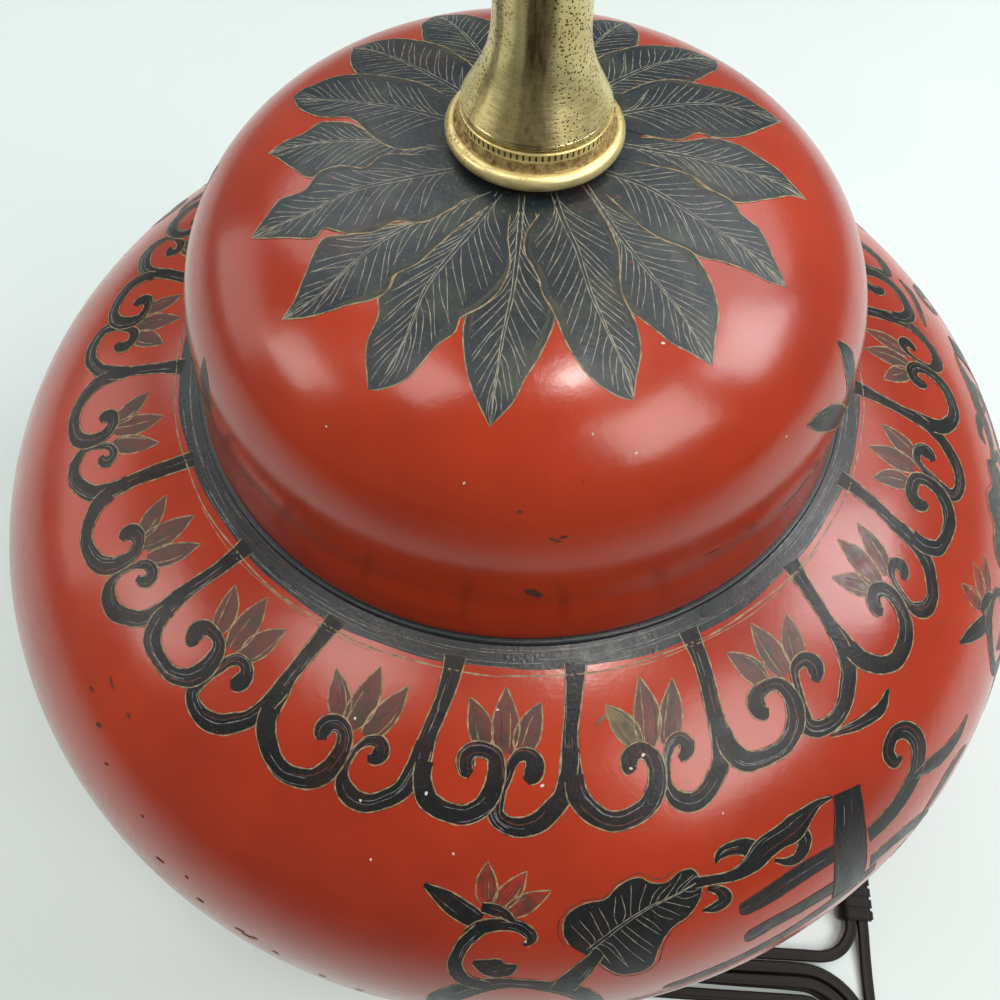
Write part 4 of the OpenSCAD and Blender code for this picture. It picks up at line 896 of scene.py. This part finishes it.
# Scrolls of two kinds of cell: (place across the cell from -1 to 1, rise, width)
CELLS = [
    {"stem": [(-1.05, 41.7, 5.4), (-1.07, 39.7, 4.8), (-1.12, 37.5, 4.5), (-1.19, 35.4, 4.4), (-1.22, 33.8, 4.8),
              (-1.24, 32.2, 5.2)],
     "left": [(-1.19, 33, 4.4), (-1.19, 31.6, 4.8), (-1.09, 30.2, 5.3), (-0.94, 29.7, 5), (-0.76, 29.5, 4.9),
              (-0.59, 29.5, 5), (-0.42, 30, 5), (-0.3, 30.8, 5), (-0.23, 31.9, 4.8), (-0.22, 33, 4.5),
              (-0.27, 34, 4.2), (-0.41, 34.4, 3.9), (-0.58, 34.3, 4.2), (-0.66, 33.6, 4.8), (-0.63, 32.8, 4.3),
              (-0.56, 32.5, 2.2)],
     "right": [(0.8, 34.6, 4.2), (0.77, 33.4, 4.6), (0.71, 32.3, 4.8), (0.62, 31, 4.8), (0.48, 30, 5),
               (0.32, 29.1, 5), (0.12, 28.7, 5), (-0.06, 28.9, 4.7), (-0.19, 29.6, 4.5), (-0.19, 30.7, 4),
               (-0.14, 31.7, 2.7), (-0.08, 32.7, 2.4),
               (-0.03, 33.6, 2.7), (0.06, 34.2, 3.4), (0.2, 34.2, 3.9), (0.28, 33.5, 4.8), (0.25, 32.7, 4.5),
               (0.17, 32.2, 2.2)],
     "petals": [([(-0.42, 34.6), (-0.52, 36.6), (-0.7, 38.5)], 6.2), ([(-0.12, 34.3), (-0.13, 36.8), (-0.15, 39.6)], 7),
                ([(0.1, 34.3), (0.23, 36.4), (0.4, 38.4)], 6.6)]},
    {"stem": [(-1, 41.4, 5.6), (-1.07, 39.2, 4.6), (-1.13, 37.2, 4.3), (-1.18, 35.3, 4), (-1.2, 33.6, 5),
              (-1.22, 32.1, 5.8)],
     "left": [(-1.19, 32.5, 5), (-1.15, 31.1, 5.5), (-1.05, 30, 5.5), (-0.91, 29.1, 5), (-0.75, 28.6, 5),
              (-0.56, 28.7, 5.1), (-0.38, 29.2, 5.2), (-0.26, 30.1, 5.2), (-0.19, 31.1, 4.7), (-0.16, 32.2, 4.4),
              (-0.2, 33.2, 4.1), (-0.31, 33.7, 4.2), (-0.44, 33.4, 4.6), (-0.48, 32.6, 4.4), (-0.45, 32.1, 2.3)],
     "right": [(0.78, 34.4, 4.2), (0.73, 32.4, 4.6), (0.63, 30.6, 4.9), (0.46, 29.5, 4.9), (0.29, 28.8, 5),
               (0.11, 28.8, 5.1), (-0.02, 29.5, 4.3),
               (-0.07, 30.5, 2.3), (-0.04, 31.7, 1.8), (0, 32.6, 2.1), (0.09, 33.4, 2.8), (0.23, 33.6, 3.4),
               (0.29, 32.9, 4), (0.23, 32.3, 3.4), (0.15, 32.1, 1.8)],
     "petals": [([(-0.32, 34), (-0.47, 35.9), (-0.65, 37.7)], 6.2), ([(-0.2, 33.7), (-0.1, 36.4), (-0.07, 39.3)], 7.1),
                ([(0.05, 33.5), (0.24, 36), (0.4, 38.4)], 6.3)]},
]
THORN = [(-0.57, 36.9, 1.2), (-0.7, 36.7, 1), (-0.84, 36.1, 0.4)]
FRONT_CELLS, THORN_CELL = (3, 4), 4
# One group of the jar's motifs: (angle, rise, width) along each line. The group is repeated at
# GROUP_TURNS, in degrees round the jar.
SCROLLS = [
    [(-95.8, 23.6, 1.7), (-93.7, 22.6, 5.4), (-91.8, 21.6, 5.9), (-90.4, 21, 4.8)],
    [(-91.2, 19.6, 4.2), (-89.9, 20.6, 4.3), (-88.1, 20.9, 3.7), (-86.6, 20.6, 3.6), (-85.7, 19.6, 3.1),
     (-86.4, 18.8, 1.5)],
    [(-90.3, 22.2, 2.9), (-89.1, 22.1, 4), (-87.9, 21.7, 2.9), (-87.2, 21.1, 0.9)],
    [(-90.3, 20.4, 3.9), (-91.6, 18.9, 3.7), (-92.2, 17.3, 3.4), (-92.2, 15.7, 4), (-91.2, 14.1, 5),
     (-89.1, 13.4, 5)],
    [(-90.7, 16.7, 1.6), (-89.2, 16.1, 7.1), (-87.9, 15.9, 6.4), (-86.9, 16.5, 1.2)],
    [(-93.6, 6.6, 3), (-93.4, 9.4, 7), (-91.3, 12.3, 7.6), (-89.1, 13.7, 6.4), (-86.5, 13.9, 5.2), (-83.4, 13, 6.3),
     (-81.2, 11.4, 7), (-79.6, 8.2, 4), (-79.8, 6, 1)],
    [(-79.8, 17.4, 3.6), (-80.9, 15.8, 5.2), (-82, 14.2, 6.7), (-82.8, 12.5, 7.3)],
    [(-70.2, 22.2, 3), (-67.8, 21.8, 3.1), (-65.8, 21.7, 4.6), (-64.1, 22.2, 6.8), (-62.8, 22.8, 7.2), (-61, 23, 6.6),
     (-59.2, 23.1, 8), (-57.5, 23.6, 5.2), (-55.8, 23.9, 2.6), (-54.3, 23.7, 0.9)],
    [(-63.6, 22.7, 5.4), (-64.7, 23.7, 4.6), (-66.2, 24.1, 3.8), (-67.4, 23.9, 3), (-67.9, 23.3, 0.9)],
    [(-59, 22.7, 4.8), (-58.7, 21.5, 4.8), (-59.5, 20.5, 4.8), (-60.8, 20.5, 3), (-62.1, 21.3, 0.9)],
    [(-69.1, 21.4, 2.2), (-68, 20.7, 3.2), (-67.7, 19.7, 4), (-68.7, 19.3, 2.9), (-69.9, 19.4, 0.7)],
    [(-52.5, 23.3, 9.4), (-53.1, 21.4, 10.2), (-53.7, 19.5, 11), (-54.1, 16.6, 11.5), (-54.3, 12, 12)],
    [(-66.4, 17.83, 1.4), (-66.25, 17.84, 3.8), (-65.9, 17.88, 5.3), (-65.2, 17.95, 5.9), (-63.4, 18.2, 6.4),
     (-61, 18.5, 6.4), (-58.5, 18.6, 6.2), (-55.7, 18.4, 6)],
    [(-66, 13.7, 1.4), (-65.85, 13.72, 3.6), (-65.5, 13.78, 4.9), (-64.8, 13.9, 5.4), (-62.9, 14.2, 5.6),
     (-60.2, 14.2, 5.8), (-57.3, 14.1, 6), (-54.3, 13.7, 6.4)],
    [(-51.6, 17.4, 6.2), (-49.4, 17.5, 6.3), (-46.6, 18.1, 6.6), (-44.1, 19.3, 6.8), (-42.6, 21.3, 6.4),
     (-43, 23.3, 5.6), (-44.8, 24.2, 4.8), (-46.4, 23.3, 4.2), (-46.1, 22, 3.2), (-45.1, 21.9, 1.6)],
    [(-51.5, 28.1, 0.6), (-50, 27.8, 1.9), (-47.5, 27.2, 3.4), (-44.6, 26.8, 4), (-42.4, 27.4, 1.2)],
    [(-73.4, 8.5, 1.2), (-72.6, 8.7, 3.6), (-70, 9.2, 4.8), (-66, 9.8, 5.2), (-62, 10.3, 5.4), (-58, 10.7, 5.6),
     (-54, 11, 5.6), (-50.6, 11.1, 5.2)],
    [(-51.6, 13.4, 6), (-49.4, 13.3, 6.1), (-46.6, 12.6, 6.4), (-44.1, 11.2, 6.4), (-42.8, 9, 6),
     (-43.4, 7, 5.2), (-45.2, 6.3, 4.6), (-46.6, 7.3, 4), (-46.2, 8.6, 3), (-45.3, 8.7, 1.4)],
    [(-44.4, 18.9, 1.6), (-42, 18.1, 5.4), (-39.4, 17.2, 6.2), (-36.8, 16.9, 4.6), (-34.6, 17.3, 1)],
    [(-44.2, 11.6, 1.6), (-41.8, 12.5, 5), (-39.4, 13.3, 5.6), (-37.2, 13.5, 4), (-35.4, 13.1, 1)],
]
BARS = (11, 12, 13, 16)  # the scrolls that are straight bars, which have no tan outline
RED_PETALS = [[(-89.8, 22.5), (-90, 24.5), (-90, 26.1)], [(-88.9, 22.3), (-87.5, 23.9), (-86.2, 25.4)],
              [(-88.1, 21.7), (-86.1, 22.8), (-83.9, 23.8)]]
VEINED = ([(-80.7, 17.8), (-79.1, 19), (-77.2, 20.2), (-74.8, 21.2), (-72.3, 21.7), (-69.8, 22.3)],
          [(-80.5, 17.7), (-79.6, 16.2), (-77.9, 14.2), (-75.9, 13.8), (-74.7, 14.9), (-74.1, 17), (-72.9, 18.6),
           (-71.2, 19.4), (-70.1, 20.6), (-69.5, 22)],
          [(-80.7, 17.7), (-82.1, 18.4), (-82.9, 20.1), (-82.5, 21.6), (-80.8, 22.5), (-78.9, 22.6), (-77.6, 23.6),
           (-75.6, 24), (-74.4, 23.3), (-73, 23), (-71.7, 23.6), (-70.3, 23.5), (-69.5, 22.2)])
GROUP_TURNS = [0, 65, 130, 195]
# Sprigs that rise from the lid's lower edge: (angle, rise, width)
SPRIGS = [
    [(-25.1, 9, 4.4), (-25.2, 15.7, 6.6), (-25.7, 20.2, 5.6), (-26.6, 23.9, 0.9)],
    [(-27, 8.6, 4), (-31.2, 12.9, 6.6), (-36.2, 16.8, 6.2), (-40.1, 18.8, 0.7)],
    [(-23.6, 9.6, 1), (-25.6, 6.4, 3), (-30, 3.2, 3.6), (-36, 1.4, 3.4), (-42, 0.8, 1)],
]
# Turn round the lid and height of each sprig
SPRIG_TURNS = [(0, 1), (-122, 0.72), (118, 0.8), (200, 1), (64, 0.8)]
# Chips, scratches and dust: (angle, radius or rise, length, width, kind)
LID_MARKS = [
    (-85.9, 94.6, 5.2, 3, "wear"), (-83.5, 90.7, 2.4, 0.8, "wear"), (-82.3, 90.4, 1.6, 0.7, "wear"),
    (-58, 94.6, 3.6, 0.5, "wear"), (-88.6, 87.2, 0.9, 0.7, "wear"), (-97, 84, 0.6, 0.6, "speck"),
    (-71, 80, 0.6, 0.6, "speck"), (-60.5, 62, 0.8, 0.7, "speck"), (-120, 83, 0.5, 0.5, "speck"),
    (-45, 88, 0.6, 0.5, "speck"), (-77.5, 75.6, 0.5, 0.5, "speck")]
SIDE_MARKS = [
    (-121.7, 12.8, 2.6, 1, "wear"), (-116.9, 10.8, 2.2, 0.9, "wear"), (-112.6, 9.5, 2.9, 1, "wear"),
    (-111.8, 9, 3.4, 0.8, "wear"), (-111, 9.6, 1.8, 0.7, "wear"), (-134.6, 24.6, 3.4, 0.7, "wear"),
    (-136.2, 22.4, 2.2, 0.7, "wear"), (-133.2, 20.6, 2.6, 1.1, "wear"), (-130.4, 18.2, 1.6, 0.8, "wear"),
    (-130.7, 23.9, 1.4, 1.1, "wear"), (-118.4, 13.6, 1.4, 0.6, "wear"), (-109, 8.2, 2, 0.6, "wear"),
    (-104.5, 6.6, 2.6, 0.6, "wear"), (-101, 5.4, 2, 0.5, "wear"), (-124.5, 16.8, 1.2, 0.6, "wear"),
    (-101.2, 24.6, 0.6, 0.6, "speck"), (-93.4, 26.4, 0.7, 0.6, "speck"),
    (-86.2, 19.2, 0.6, 0.6, "speck"), (-97, 30.6, 0.9, 0.8, "speck"), (-84.6, 31.9, 0.9, 0.8, "speck"),
    (-72.9, 33.2, 0.9, 0.8, "speck"), (-74.6, 32.4, 0.8, 0.7, "speck"), (-107, 34.6, 0.7, 0.6, "speck"),
    (-103.6, 28.8, 0.8, 0.6, "speck"), (-66, 27, 0.6, 0.5, "speck"), (-90, 37.7, 0.7, 0.6, "speck")]
# The finishes that the ornament may take
PAINTS = ("slate", "band", "ink", "line", "vein", "olive", "pale", "brown", "petal", "red_petal", "gold_petal",
          "wear", "speck")
OVER = 0.014  # how far a line stands over the paint under it, in millimetres


def patch(bm, long, wide, at):
    """A grid moved onto the place that at gives for shares along and across."""
    for v in bmesh.ops.create_grid(bm, x_segments=long, y_segments=wide, size=0.5)["verts"]:
        v.co = at(v.co.x + 0.5, v.co.y + 0.5)


def track(points, skin, steps=4):
    """Smooths (place, width) points into a list of (place, way to the side, width)."""
    line = smooth_path([Vector((*p, w)) for p, w in points], steps)
    made = []
    for i, here in enumerate(line):
        p = here.to_3d()
        way = (line[min(i + 1, len(line) - 1)] - line[max(i - 1, 0)]).to_3d()
        out = settle(p, skin, 1) - settle(p, skin, 0)
        made.append((p, out.cross(way).normalized(), max(0.02, here.w)))
    return made


def brush(bm, path, skin, lift, wide=4):
    """Fills a track, so many faces wide."""
    def at(s, t):
        p, side, w = path[round(s * (len(path) - 1))]
        return settle(p + side * w * (t - 0.5), skin, lift)
    patch(bm, len(path) - 1, wide, at)


def pen(bm, path, skin, lift, side=0.0, out=0.0, width=0.45, start=0.0, end=1.0, shake=0.0, drift=0.0):
    """A thin line along a track: side is -1 to 1 across it, out is how far past that place it runs."""
    a, b = round(start * (len(path) - 1)), round(end * (len(path) - 1))
    part = path[a : b + 1]
    if len(part) < 2:
        return
    phase = random.uniform(0, math.tau)

    def at(s, t):
        i = round(s * (len(part) - 1))
        p, way, w = part[i]
        off = side * w / 2 + math.copysign(out, side) + drift * math.sin(i * 0.21 + phase * 3)
        off += shake * (math.sin(i * 0.9 + phase) + 0.6 * math.sin(i * 2.3 + phase))
        thin = width * (0.75 + 0.25 * math.sin(i * 1.7 + phase)) * min(1, 0.35 + min(s, 1 - s) * len(part) / 2)
        return settle(p + way * (off + thin * (t - 0.5)), skin, lift)
    patch(bm, len(part) - 1, 1, at)


def evened(points, steps):
    """So many points at equal distances along a line."""
    far = [0.0]
    for a, b in zip(points, points[1:]):
        far.append(far[-1] + (b - a).length)
    made, k = [], 0
    for i in range(steps + 1):
        d = far[-1] * i / steps
        while k < len(far) - 2 and far[k + 1] < d:
            k += 1
        made.append(points[k].lerp(points[k + 1], min(1.0, (d - far[k]) / max(1e-9, far[k + 1] - far[k]))))
    return made


def leaf(paint, skin, level, mid, right, left, veins=17, fill="slate", loose=0.0):
    """One painted leaf: a dark fill, its outline, a double midrib and curved veins."""
    lift, steps = 0.045 + 0.03 * level, 44
    mid, right, left = (evened(smooth_path(line, 6), steps) for line in (mid, right, left))
    patch(paint[fill], steps, 8,
          lambda s, t: settle(right[round(s * steps)].lerp(left[round(s * steps)], t), skin, lift))
    for edge, side in ((right, 1), (left, -1)):
        path = track([(p, 1) for p in edge], skin, 1)
        pen(paint["line"], path, skin, lift + OVER, width=0.42, start=0.1, shake=0.06)
        if loose:
            pen(paint["wear"], path, skin, 0.02, side * -1, loose, 0.36, 0.08, 0.85, 0.06, 0.35)
        if fill == "slate":
            smear = track([(p.lerp(m, 0.1), 1.3) for p, m in zip(edge[8:36], mid[8:36])], skin, 1)
            for _ in range(5):
                pen(paint["olive"], smear, skin, lift + OVER / 2, random.uniform(-1, 1),
                    width=random.uniform(0.3, 0.7), start=random.uniform(0, 0.6), end=random.uniform(0.65, 1),
                    shake=0.12, drift=0.3)
        for k in range(veins):
            s = 0.04 + 0.88 * (k + random.uniform(-0.15, 0.15)) / veins
            run = random.uniform(0.17, 0.22) * (1 - 0.45 * s)
            i, j = round(s * steps), min(steps, round((s + run) * steps))
            middle = round((s + run * 0.45) * steps)
            reach = random.uniform(0.74, 0.86)
            start, stop = mid[i].lerp(edge[i], 0.05), mid[j].lerp(edge[j], reach)
            bend = mid[middle].lerp(edge[middle], reach * 0.4)
            if (stop - start).length >= 1.2:
                vein = track([(start, 1), (bend, 1), (stop, 1)], skin, 5)
                pen(paint["vein"], vein, skin, lift + OVER, width=0.24, shake=0.03)
    rib = track([(p, 1.15 * (1 - i / steps) + 0.1) for i, p in enumerate(mid)], skin, 1)
    for side in (1, -1):
        pen(paint["vein"], rib, skin, lift + OVER, side, width=0.3, shake=0.04)


# Share of a petal's width at equal distances from its foot to its tip
PETAL_SHAPE = [0.5, 0.68, 0.82, 0.92, 0.98, 1, 0.99, 0.95, 0.88, 0.79, 0.67, 0.53, 0.37, 0.2, 0.03]


def petal(paint, fill, skin, lift, points, width):
    """A pointed petal with a tan outline and streaks along it."""
    line = evened(smooth_path(points, 5), len(PETAL_SHAPE) - 1)
    path = track([(p, width * w) for p, w in zip(line, PETAL_SHAPE)], skin, 1)
    brush(paint[fill], path, skin, lift)
    for side in (1, -1):
        pen(paint["line"], path, skin, lift + OVER, side, width=0.55, shake=0.04)
    for k in range(5):
        pen(paint[("brown", "olive", "line")[k % 3]], path, skin, lift + 0.01, random.uniform(-0.7, 0.7),
            width=random.uniform(0.25, 0.5), start=random.uniform(0, 0.2), end=random.uniform(0.5, 0.85), shake=0.06)


def scroll(paint, points, skin, lift, streaks=4, edge="line"):
    """A dark scroll with wandering lines near its two edges and streaks along it."""
    path = track(points, skin, 5)
    brush(paint["ink"], path, skin, lift)
    for side in (1, -1):
        pen(paint[edge], path, skin, lift + 0.016, side, 0.02, 0.44, 0.01, 0.99, 0.05, 0.3)
    for k in range(streaks):
        start = random.uniform(0.0, 0.7)
        pen(paint["brown" if k % 2 else "pale"], path, skin, lift + 0.01, random.uniform(-0.8, 0.8),
            width=random.uniform(0.15, 0.5) if k % 2 else random.uniform(0.12, 0.25),
            start=start, end=min(0.97, start + random.uniform(0.12, 0.4)), shake=0.06)


def painted(name, paint, skin):
    """Makes each finish's painted shapes into a piece that is let into the skin."""
    middle = Vector((0, 0, skin.middle))
    for kind, bm in paint.items():
        if not bm.verts:
            bm.free()
            continue
        bmesh.ops.remove_doubles(bm, verts=bm.verts, dist=0.004)
        bmesh.ops.dissolve_degenerate(bm, edges=bm.edges, dist=0.003)
        bm.normal_update()
        inward = [f for f in bm.faces if f.normal.dot(f.calc_center_median() - middle) < 0]
        bmesh.ops.reverse_faces(bm, faces=inward)
        bmesh.ops.solidify(bm, geom=bm.faces[:], thickness=0.1)
        new_piece(f"{name}_{kind}", finish_mesh(bm, f"{name}_{kind}", 40), [kind], "lamp")


def daub(bm, centre, skin, long, wide):
    """A small uneven spot on a skin."""
    out = settle(centre, skin, 1) - settle(centre, skin, 0)
    along = Vector((0, 0, 1)).cross(out).normalized()
    up = out.cross(along)
    turn, phase = random.uniform(-0.5, 0.5), random.uniform(0, math.tau)
    for v in bmesh.ops.create_circle(bm, cap_ends=True, segments=14, radius=0.5)["verts"]:
        a = math.atan2(v.co.y, v.co.x)
        far = 0.5 * (1 + 0.22 * math.sin(2 * a + phase) + 0.16 * math.sin(5 * a + phase * 2))
        x, y = long * far * math.cos(a), wide * far * math.sin(a)
        v.co = settle(centre + along * (x * math.cos(turn) - y * math.sin(turn))
                      + up * (x * math.sin(turn) + y * math.cos(turn)), skin, 0.16)


def fresh_paint():
    """An empty bmesh for each finish that the ornament may take."""
    return {kind: bmesh.new() for kind in PAINTS}


class LAMP_OT_leaves(bpy.types.Operator):
    """Paints the ring of overlapping leaves and the sprigs on the lid"""

    bl_idname = "lamp.leaves"
    bl_label = "Paint the lid"

    def execute(self, context):
        random.seed(7)
        paint, skin = fresh_paint(), LID_SKIN
        patch(paint["slate"], 120, 3, lambda s, t: on_skin(360 * s, 17.5 + 8.5 * t, skin, 0.03))
        for level, *lines in LEAVES:
            leaf(paint, skin, level, *([on_skin(a, r, skin) for a, r in line] for line in lines))
        for level, base, tip, reach, half, blunt in BACK_LEAVES:
            mid, right, left = [], [], []
            for i, share in enumerate([*(BLUNT_SHAPE if blunt else POINTED_SHAPE), 0]):
                r = 20 + (reach - 20) * (i / 8) ** 0.9
                angle = base + (tip - base) * i / 8
                wide = math.degrees(half * share / r)
                mid.append(on_skin(angle, r, skin))
                right.append(on_skin(angle - wide * random.uniform(0.92, 1.05), r, skin))
                left.append(on_skin(angle + wide * random.uniform(0.92, 1.05), r, skin))
            leaf(paint, skin, level, mid, right, left)
        for turn, tall in SPRIG_TURNS:
            for line in SPRIGS:
                points = [(at_angles(a + turn, e * tall, skin), w) for a, e, w in line]
                scroll(paint, points, skin, 0.06)
        for angle, r, long, wide, kind in LID_MARKS:
            daub(paint[kind], on_skin(angle, min(r, skin.radius - 0.01), skin), skin, long, wide)
        painted("Lid_paint", paint, skin)
        return {"FINISHED"}


class LAMP_OT_lappets(bpy.types.Operator):
    """Paints the band, the scrolled lappets and the flowers on the jar's shoulder"""

    bl_idname = "lamp.lappets"
    bl_label = "Paint the shoulder"

    def execute(self, context):
        random.seed(11)
        paint, skin = fresh_paint(), JAR_SKIN

        def band(s, t):
            a = 360 * s
            low = 41.05 + 0.12 * math.sin(math.radians(a * 7)) + 0.08 * math.sin(math.radians(a * 23 + 40))
            return at_angles(a, low + (43.15 - low) * t, skin, 0.03)

        def round_line(start, run, steps, rise):
            """A track round the jar whose rise after i steps is rise(i)."""
            points = [(at_angles(start + run * i / steps, rise(i), skin), 1) for i in range(steps + 1)]
            return track(points, skin, 3)

        patch(paint["band"], 360, 4, band)
        for k in range(210):
            start, middle, run = random.uniform(0, 360), random.uniform(41.2, 43.1), random.uniform(5, 24)
            path = round_line(start, run, 8, lambda i: middle + random.uniform(-0.03, 0.03))
            pen(paint[("olive", "pale", "brown", "pale")[k % 4]], path, skin, 0.045, width=random.uniform(0.1, 0.24))
        for low, width, parts, share in ((40.5, 0.55, 12, 1.0), (40.2, 0.28, 5, 0.5)):
            for k in range(parts):
                start = 360 * k / parts
                path = round_line(start, 360 / parts * share, 10, lambda i: low + 0.07 * math.sin(start + i))
                pen(paint["line"], path, skin, 0.05, width=width)
        for i, (angle, following) in enumerate(zip(STEMS, [*STEMS[1:], STEMS[0] + 360])):
            cell = CELLS[(i + 1) % 2]
            centre, half = (angle + following) / 2, (following - angle) / 2
            wobble = [0, 0] if i in FRONT_CELLS else [random.uniform(-0.2, 0.2) for _ in range(2)]

            def laid(line, drop=0.0):
                return [(at_angles(centre + half * x, e + drop, skin), w) for x, e, w in line]

            for k, (line, wide) in enumerate(cell["petals"]):
                points = [at_angles(centre + half * x, e, skin) for x, e in line]
                petal(paint, "gold_petal" if (i, k) == (THORN_CELL, 0) else "petal", skin, 0.03, points, wide)
            if i == THORN_CELL:
                brush(paint["gold_petal"], track(laid(THORN), skin, 3), skin, 0.035, 2)
            scroll(paint, laid(cell["stem"]), skin, 0.05)
            scroll(paint, laid(cell["right"], wobble[0]), skin, 0.08, streaks=7)
            scroll(paint, laid(cell["left"], wobble[1]), skin, 0.11, streaks=7)
        painted("Shoulder_paint", paint, skin)
        return {"FINISHED"}


class LAMP_OT_motifs(bpy.types.Operator):
    """Paints the scrolls, veined leaves, vines and bars on the jar's side"""

    bl_idname = "lamp.motifs"
    bl_label = "Paint the side"

    def execute(self, context):
        random.seed(5)
        paint, skin = fresh_paint(), JAR_SKIN
        for turn in GROUP_TURNS:
            for k, line in enumerate(SCROLLS):
                points = [(at_angles(a + turn, e, skin), w) for a, e, w in line]
                scroll(paint, points, skin, 0.04 + 0.022 * (k % 4), edge="wear" if k in BARS else "line")
            for line in RED_PETALS:
                petal(paint, "red_petal", skin, 0.035, [at_angles(a + turn, e, skin) for a, e in line], 5.6)
            leaf(paint, skin, 1, *([at_angles(a + turn, e, skin) for a, e in line] for line in VEINED), veins=13,
                 fill="ink", loose=0.45)
        for angle, rise, long, wide, kind in SIDE_MARKS:
            daub(paint[kind], at_angles(angle, rise, skin), skin, long, wide)
        painted("Side_paint", paint, skin)
        return {"FINISHED"}


# Finishes of the nodes that are shown as they are
SHOWN = {
    "wood": ("base_plinth",), "felt": ("felt_pad",), "wire": ("harp_bow",), "board": ("insulating_sleeve",),
    "black": ("socket_core", "switch_knob"), "rubber": ("inner_leads", "cord_bushing"),
    "cord": ("cord_tie",), "plug": ("plug_body",),
    "steel": ("base_washer", "base_nut", "set_screw", "terminal_screws"),
    "brass": ("centre_rod", "harp_saddle", "lock_nut", "socket_cap", "socket_shell", "screw_shell", "finial",
              "centre_contact", "switch_shaft", "harp_stud", "harp_ferrule_left", "harp_ferrule_right",
              "plug_blades"),
}


class LAMP_OT_rest(bpy.types.Operator):
    """Dresses the nodes of the frame that are shown as they are"""

    bl_idname = "lamp.rest"
    bl_label = "Dress the other nodes"

    def execute(self, context):
        for name, nodes in SHOWN.items():
            for node in nodes:
                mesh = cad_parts[node].data
                mesh.materials.clear()
                mesh.materials.append(finish(name))
        return {"FINISHED"}


class LAMP_PT_panel(bpy.types.Panel):
    """Lists the lamp's operators and settings"""

    bl_label = "Ginger Jar Lamp"
    bl_idname = "LAMP_PT_panel"
    bl_space_type = "VIEW_3D"
    bl_region_type = "UI"
    bl_category = "Lamp"

    def draw(self, context):
        for step in STEPS:
            self.layout.operator(step.bl_idname)
        for group in GROUPS:
            settings = getattr(context.scene, group)
            box = self.layout.box()
            box.label(text=group.replace("_", " ").capitalize())
            for key in settings.__annotations__:
                box.prop(settings, key)


GROUPS = {
    "lamp_lacquer": LacquerSettings, "lamp_jar": JarSettings, "lamp_brass": BrassSettings,
    "lamp_cord": CordSettings, "lamp_stage": StageSettings,
}
STEPS = [LAMP_OT_stage, LAMP_OT_cord, LAMP_OT_jar, LAMP_OT_leaves, LAMP_OT_lappets, LAMP_OT_motifs,
         LAMP_OT_neck, LAMP_OT_rest]


def register():
    for group in GROUPS.values():
        bpy.utils.register_class(group)
    for name, group in GROUPS.items():
        setattr(bpy.types.Scene, name, PointerProperty(type=group))
    for step in [*STEPS, LAMP_PT_panel]:
        bpy.utils.register_class(step)


def unregister():
    for step in [LAMP_PT_panel, *reversed(STEPS)]:
        bpy.utils.unregister_class(step)
    for name in GROUPS:
        delattr(bpy.types.Scene, name)
    for group in reversed(GROUPS.values()):
        bpy.utils.unregister_class(group)


def main():
    register()
    for step in STEPS:
        family, name = step.bl_idname.split(".")
        getattr(getattr(bpy.ops, family), name)()


if __name__ == "__main__":
    main()
